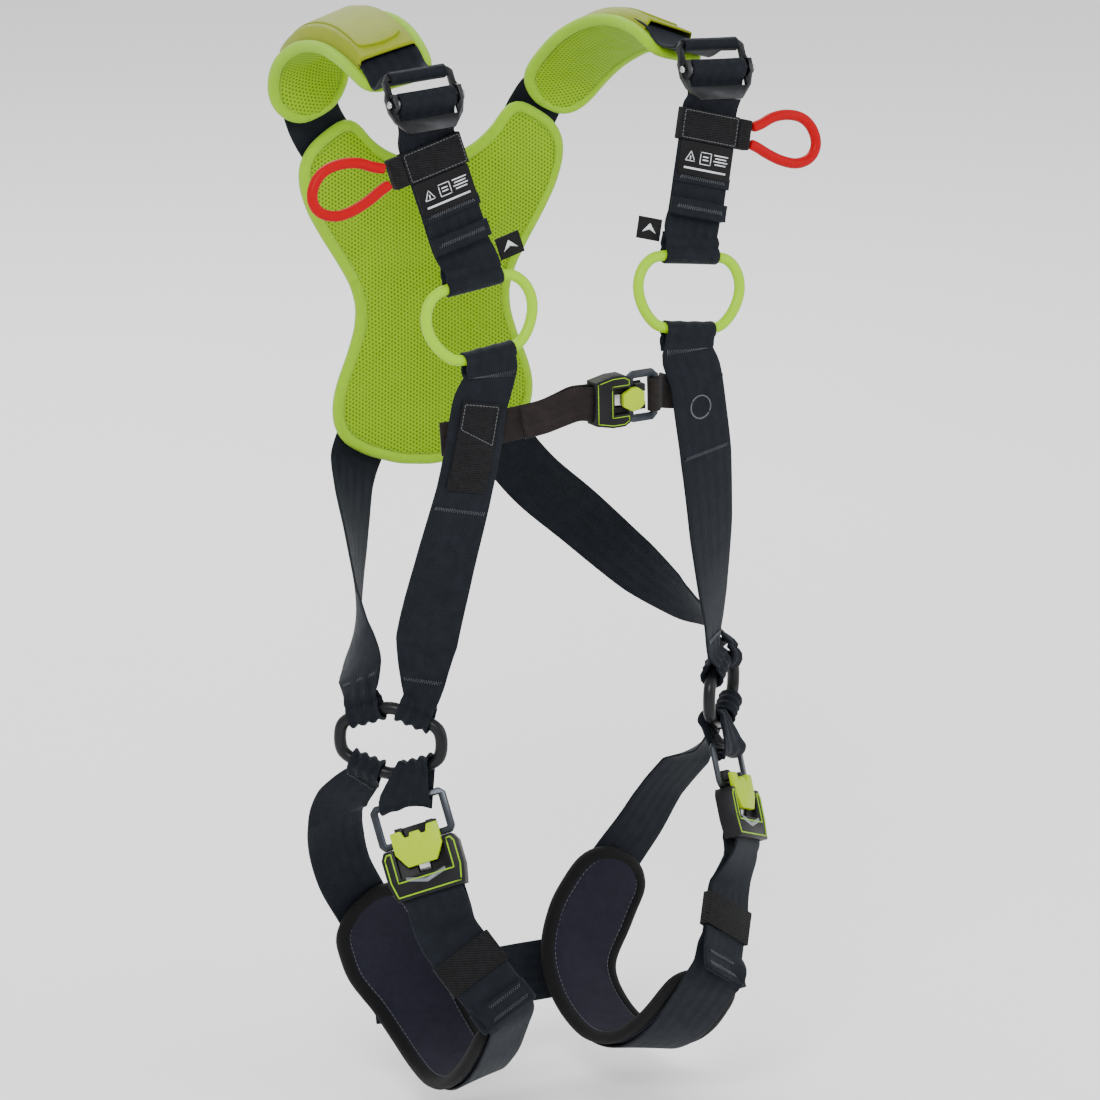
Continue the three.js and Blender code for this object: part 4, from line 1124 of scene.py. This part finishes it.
class Face:
    """A flat face of a CAD node: its outline, centre, the way its longest edge runs, and its normal."""

    def __init__(self, node, direction):
        shape = flattened(node)
        way = Vector(direction).normalized()
        face = max(shape.faces, key=lambda f: f.calc_area() * max(f.normal.dot(way), 0) ** 4)
        self.outline = np.array([corner.co for corner in face.verts])
        self.normal = np.array(face.normal)
        shape.free()
        self.centre = self.outline.mean(axis=0)
        edges = np.roll(self.outline, -1, axis=0) - self.outline
        longest = unit(edges[np.argmax(np.linalg.norm(edges, axis=1))])
        self.right = longest if longest[0] > 0 else -longest
        self.up = np.cross(self.normal, self.right)
        if self.up[2] < 0:
            self.up = -self.up

    def at(self, right, up, lift=0.0):
        return self.centre + self.right * right + self.up * up + self.normal * lift

    def inset(self, distance):
        """The outline moved in by a distance, corner by corner."""
        ahead = unit(np.roll(self.outline, -1, axis=0) - self.outline)
        behind = unit(self.outline - np.roll(self.outline, 1, axis=0))
        inward = np.cross(self.normal, ahead) + np.cross(self.normal, behind)
        square = np.maximum(np.sum(inward**2, axis=1, keepdims=True), 0.2)
        return self.outline + inward * (2 * distance / square)


def plate(face, outline, lift, thickness):
    """Points and faces of a thin plate on a flat face. outline holds millimetres from its centre."""
    corners = [(right * MM, up * MM) for right, up in outline]
    count = len(corners)
    heights = (lift - thickness, lift)
    points = np.array([face.at(*corner, height) for height in heights for corner in corners])
    sides = [(j, (j + 1) % count, count + (j + 1) % count, count + j) for j in range(count)]
    return points, [tuple(range(count)), tuple(range(count, 2 * count)), *sides]


def bar(right, up, width, height):
    """A rectangle's outline about a place, in millimetres."""
    return [(right + a * width / 2, up + b * height / 2) for a, b in ((-1, -1), (1, -1), (1, 1), (-1, 1))]


def closed_tube(points, radius):
    """A thin tube round a closed polyline, its corners kept."""
    loop = np.concatenate([points, points[:1]])
    fine = np.concatenate([np.linspace(a, b, 7)[:-1] for a, b in zip(loop[:-1], loop[1:])] + [loop[-1:]])
    return thread_tube(fine, radius, 6)


def print_card(name, materials):
    """Generic marks on a strap's card: a warning triangle, a picture frame and lines, with no words."""
    face = Face(f"strap_card_{name}", (0, -1, 0.1))
    triangle = [face.at(x * MM, y * MM, 0.1 * MM) for x, y in ((-17.5, -2), (-9.5, -2), (-13.5, 5))]
    frame_line = [face.at(x * MM, y * MM, 0.1 * MM) for x, y in ((-5, -3), (4, -3), (4, 5.5), (-5, 5.5))]
    parts = [closed_tube(np.array(line), 0.32 * MM) for line in (triangle, frame_line)]
    outlines = [bar(-13.5, 0.2, 0.9, 3), bar(-0.5, 2.5, 5, 0.9), bar(-0.5, 0.2, 5, 0.9)]
    outlines += [bar(12.5, 5 - 2.2 * row, 12 - 2.5 * (row % 2), 0.9) for row in range(4)]
    outlines += [bar(0, -7.2, 36, 1.4)]
    parts += [plate(face, outline, 0.12 * MM, 0.3 * MM) for outline in outlines]
    return join_parts(f"card_print_{name}", parts, materials["print"])


def print_flag(name, materials):
    """A generic arrow mark on a size flag."""
    face = Face(f"size_flag_{name}", (0, -1, 0))
    parts = [plate(face, [(-6, -3), (0, 4), (6, -3), (0, -0.5)], 0.12 * MM, 0.3 * MM)]
    return join_parts(f"flag_print_{name}", parts, materials["print"])


def edge_stitches(name, face, inset, material):
    """A line of stitches round a flat piece of fabric."""
    loop = face.inset(inset)
    parts = []
    for start, end in zip(loop, np.roll(loop, -1, axis=0)):
        count = max(int(np.linalg.norm(end - start) / (2.6 * MM)), 1)
        parts += running_stitch(
            lambda share, a=start, b=end: a + (b - a) * share + face.normal * 0.1 * MM, count)
    return join_parts(name, parts, material)


LEG_BUCKLE_FRONT = (0.625, -0.7028, 0.3398)
LEG_BUCKLE_CHEVRON = [(-15, -7), (0, -11), (15, -7), (15, -10), (0, -14.5), (-15, -10)]


def trim_line(node, face, radius, inset, materials):
    line = join_parts(f"{node}_trim", [closed_tube(face.inset(inset), radius)], materials["binding"])
    settle(line, "harness", "plastic")


def build_buckle_trim(materials):
    """The bright line round each buckle's front and the grey chevron under its slider."""
    trim_line("chest_buckle_body", Face("chest_buckle_body", (0, -1, 0)), 0.32 * MM, 1.9 * MM, materials)
    for name, side in SIDES.items():
        node = f"leg_buckle_body_{name}"
        face = Face(node, np.array(LEG_BUCKLE_FRONT) * (side, 1, 1))
        trim_line(node, face, 0.55 * MM, 2.6 * MM, materials)
        parts = [plate(face, LEG_BUCKLE_CHEVRON, 0.35 * MM, 0.8 * MM)]
        mark = join_parts(f"leg_buckle_mark_{name}", parts, materials["plate"])
        settle(mark, "harness", "steel")


def build_prints(materials):
    for name in SIDES:
        settle(print_card(name, materials), f"sleeve_{name}", "card")
        settle(print_flag(name, materials), "harness", "card")
        face = Face(f"strap_sleeve_{name}", (0, -1, 0.1))
        stitches = edge_stitches(f"sleeve_stitches_{name}", face, 1.6 * MM, materials["thread"])
        settle(stitches, f"sleeve_{name}", "elastic")


def rivet(centre, way, radius):
    """Points and faces of a domed pin end."""
    way = unit(np.asarray(way))
    one = unit(np.cross(way, (0, 0.3, 1)))
    two = np.cross(way, one)
    angles = np.linspace(0, 2 * np.pi, 16, endpoint=False)
    steps = [(1, -0.6), (1, 0.2), (0.92, 0.45), (0.7, 0.62), (0.35, 0.72), (0.05, 0.75)]
    rings = [centre + way * out * radius + size * radius * (np.outer(np.cos(angles), one)
             + np.outer(np.sin(angles), two)) for size, out in steps]
    return np.concatenate(rings), tube_faces(len(rings), 16, False)


def build_pins(materials):
    """Bright riveted ends on the adjusters' slide bars."""
    for name in SIDES:
        points = np.array([corner.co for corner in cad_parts[f"adjuster_bar_{name}"].data.vertices])
        ends = [points[points[:, 0] < points[:, 0].min() + 0.5 * MM].mean(axis=0),
                points[points[:, 0] > points[:, 0].max() - 0.5 * MM].mean(axis=0)]
        way = ends[1] - ends[0]
        parts = [rivet(ends[0], -way, 2.6 * MM), rivet(ends[1], way, 2.6 * MM)]
        pins = join_parts(f"adjuster_pins_{name}", parts, materials["steel"])
        settle(pins, f"adjuster_bar_{name}", "steel")


def add_floor():
    """A plain pale floor under the hanging harness."""
    low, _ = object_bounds()
    bpy.ops.mesh.primitive_plane_add(size=60, location=(0, 0, low[2] - 0.03))
    floor = bpy.context.object
    floor.name = "floor"
    nodes = Nodes("floor")
    shade = nodes.noise(nodes.place(), 3, 3)
    color = nodes.ramp(shade, [(0.0, (0.93, 0.93, 0.93)), (1.0, (0.96, 0.96, 0.96))])
    nodes.set(Base_Color=color, Roughness=0.9)
    floor.data.materials.append(nodes.material)


def main():
    add_camera()
    add_world()
    for name, setting in LIGHTS.items():
        add_light(name, *setting)
    materials = build_materials()
    straps = read_straps()
    build_webbing(straps, materials)
    build_stitching(straps, materials)
    build_shoulder_pads(materials)
    build_leg_pads(materials)
    build_back_pad(materials)
    build_rings(materials)
    build_hardware(materials)
    build_buckle_trim(materials)
    build_prints(materials)
    build_pins(materials)
    add_floor()


main()
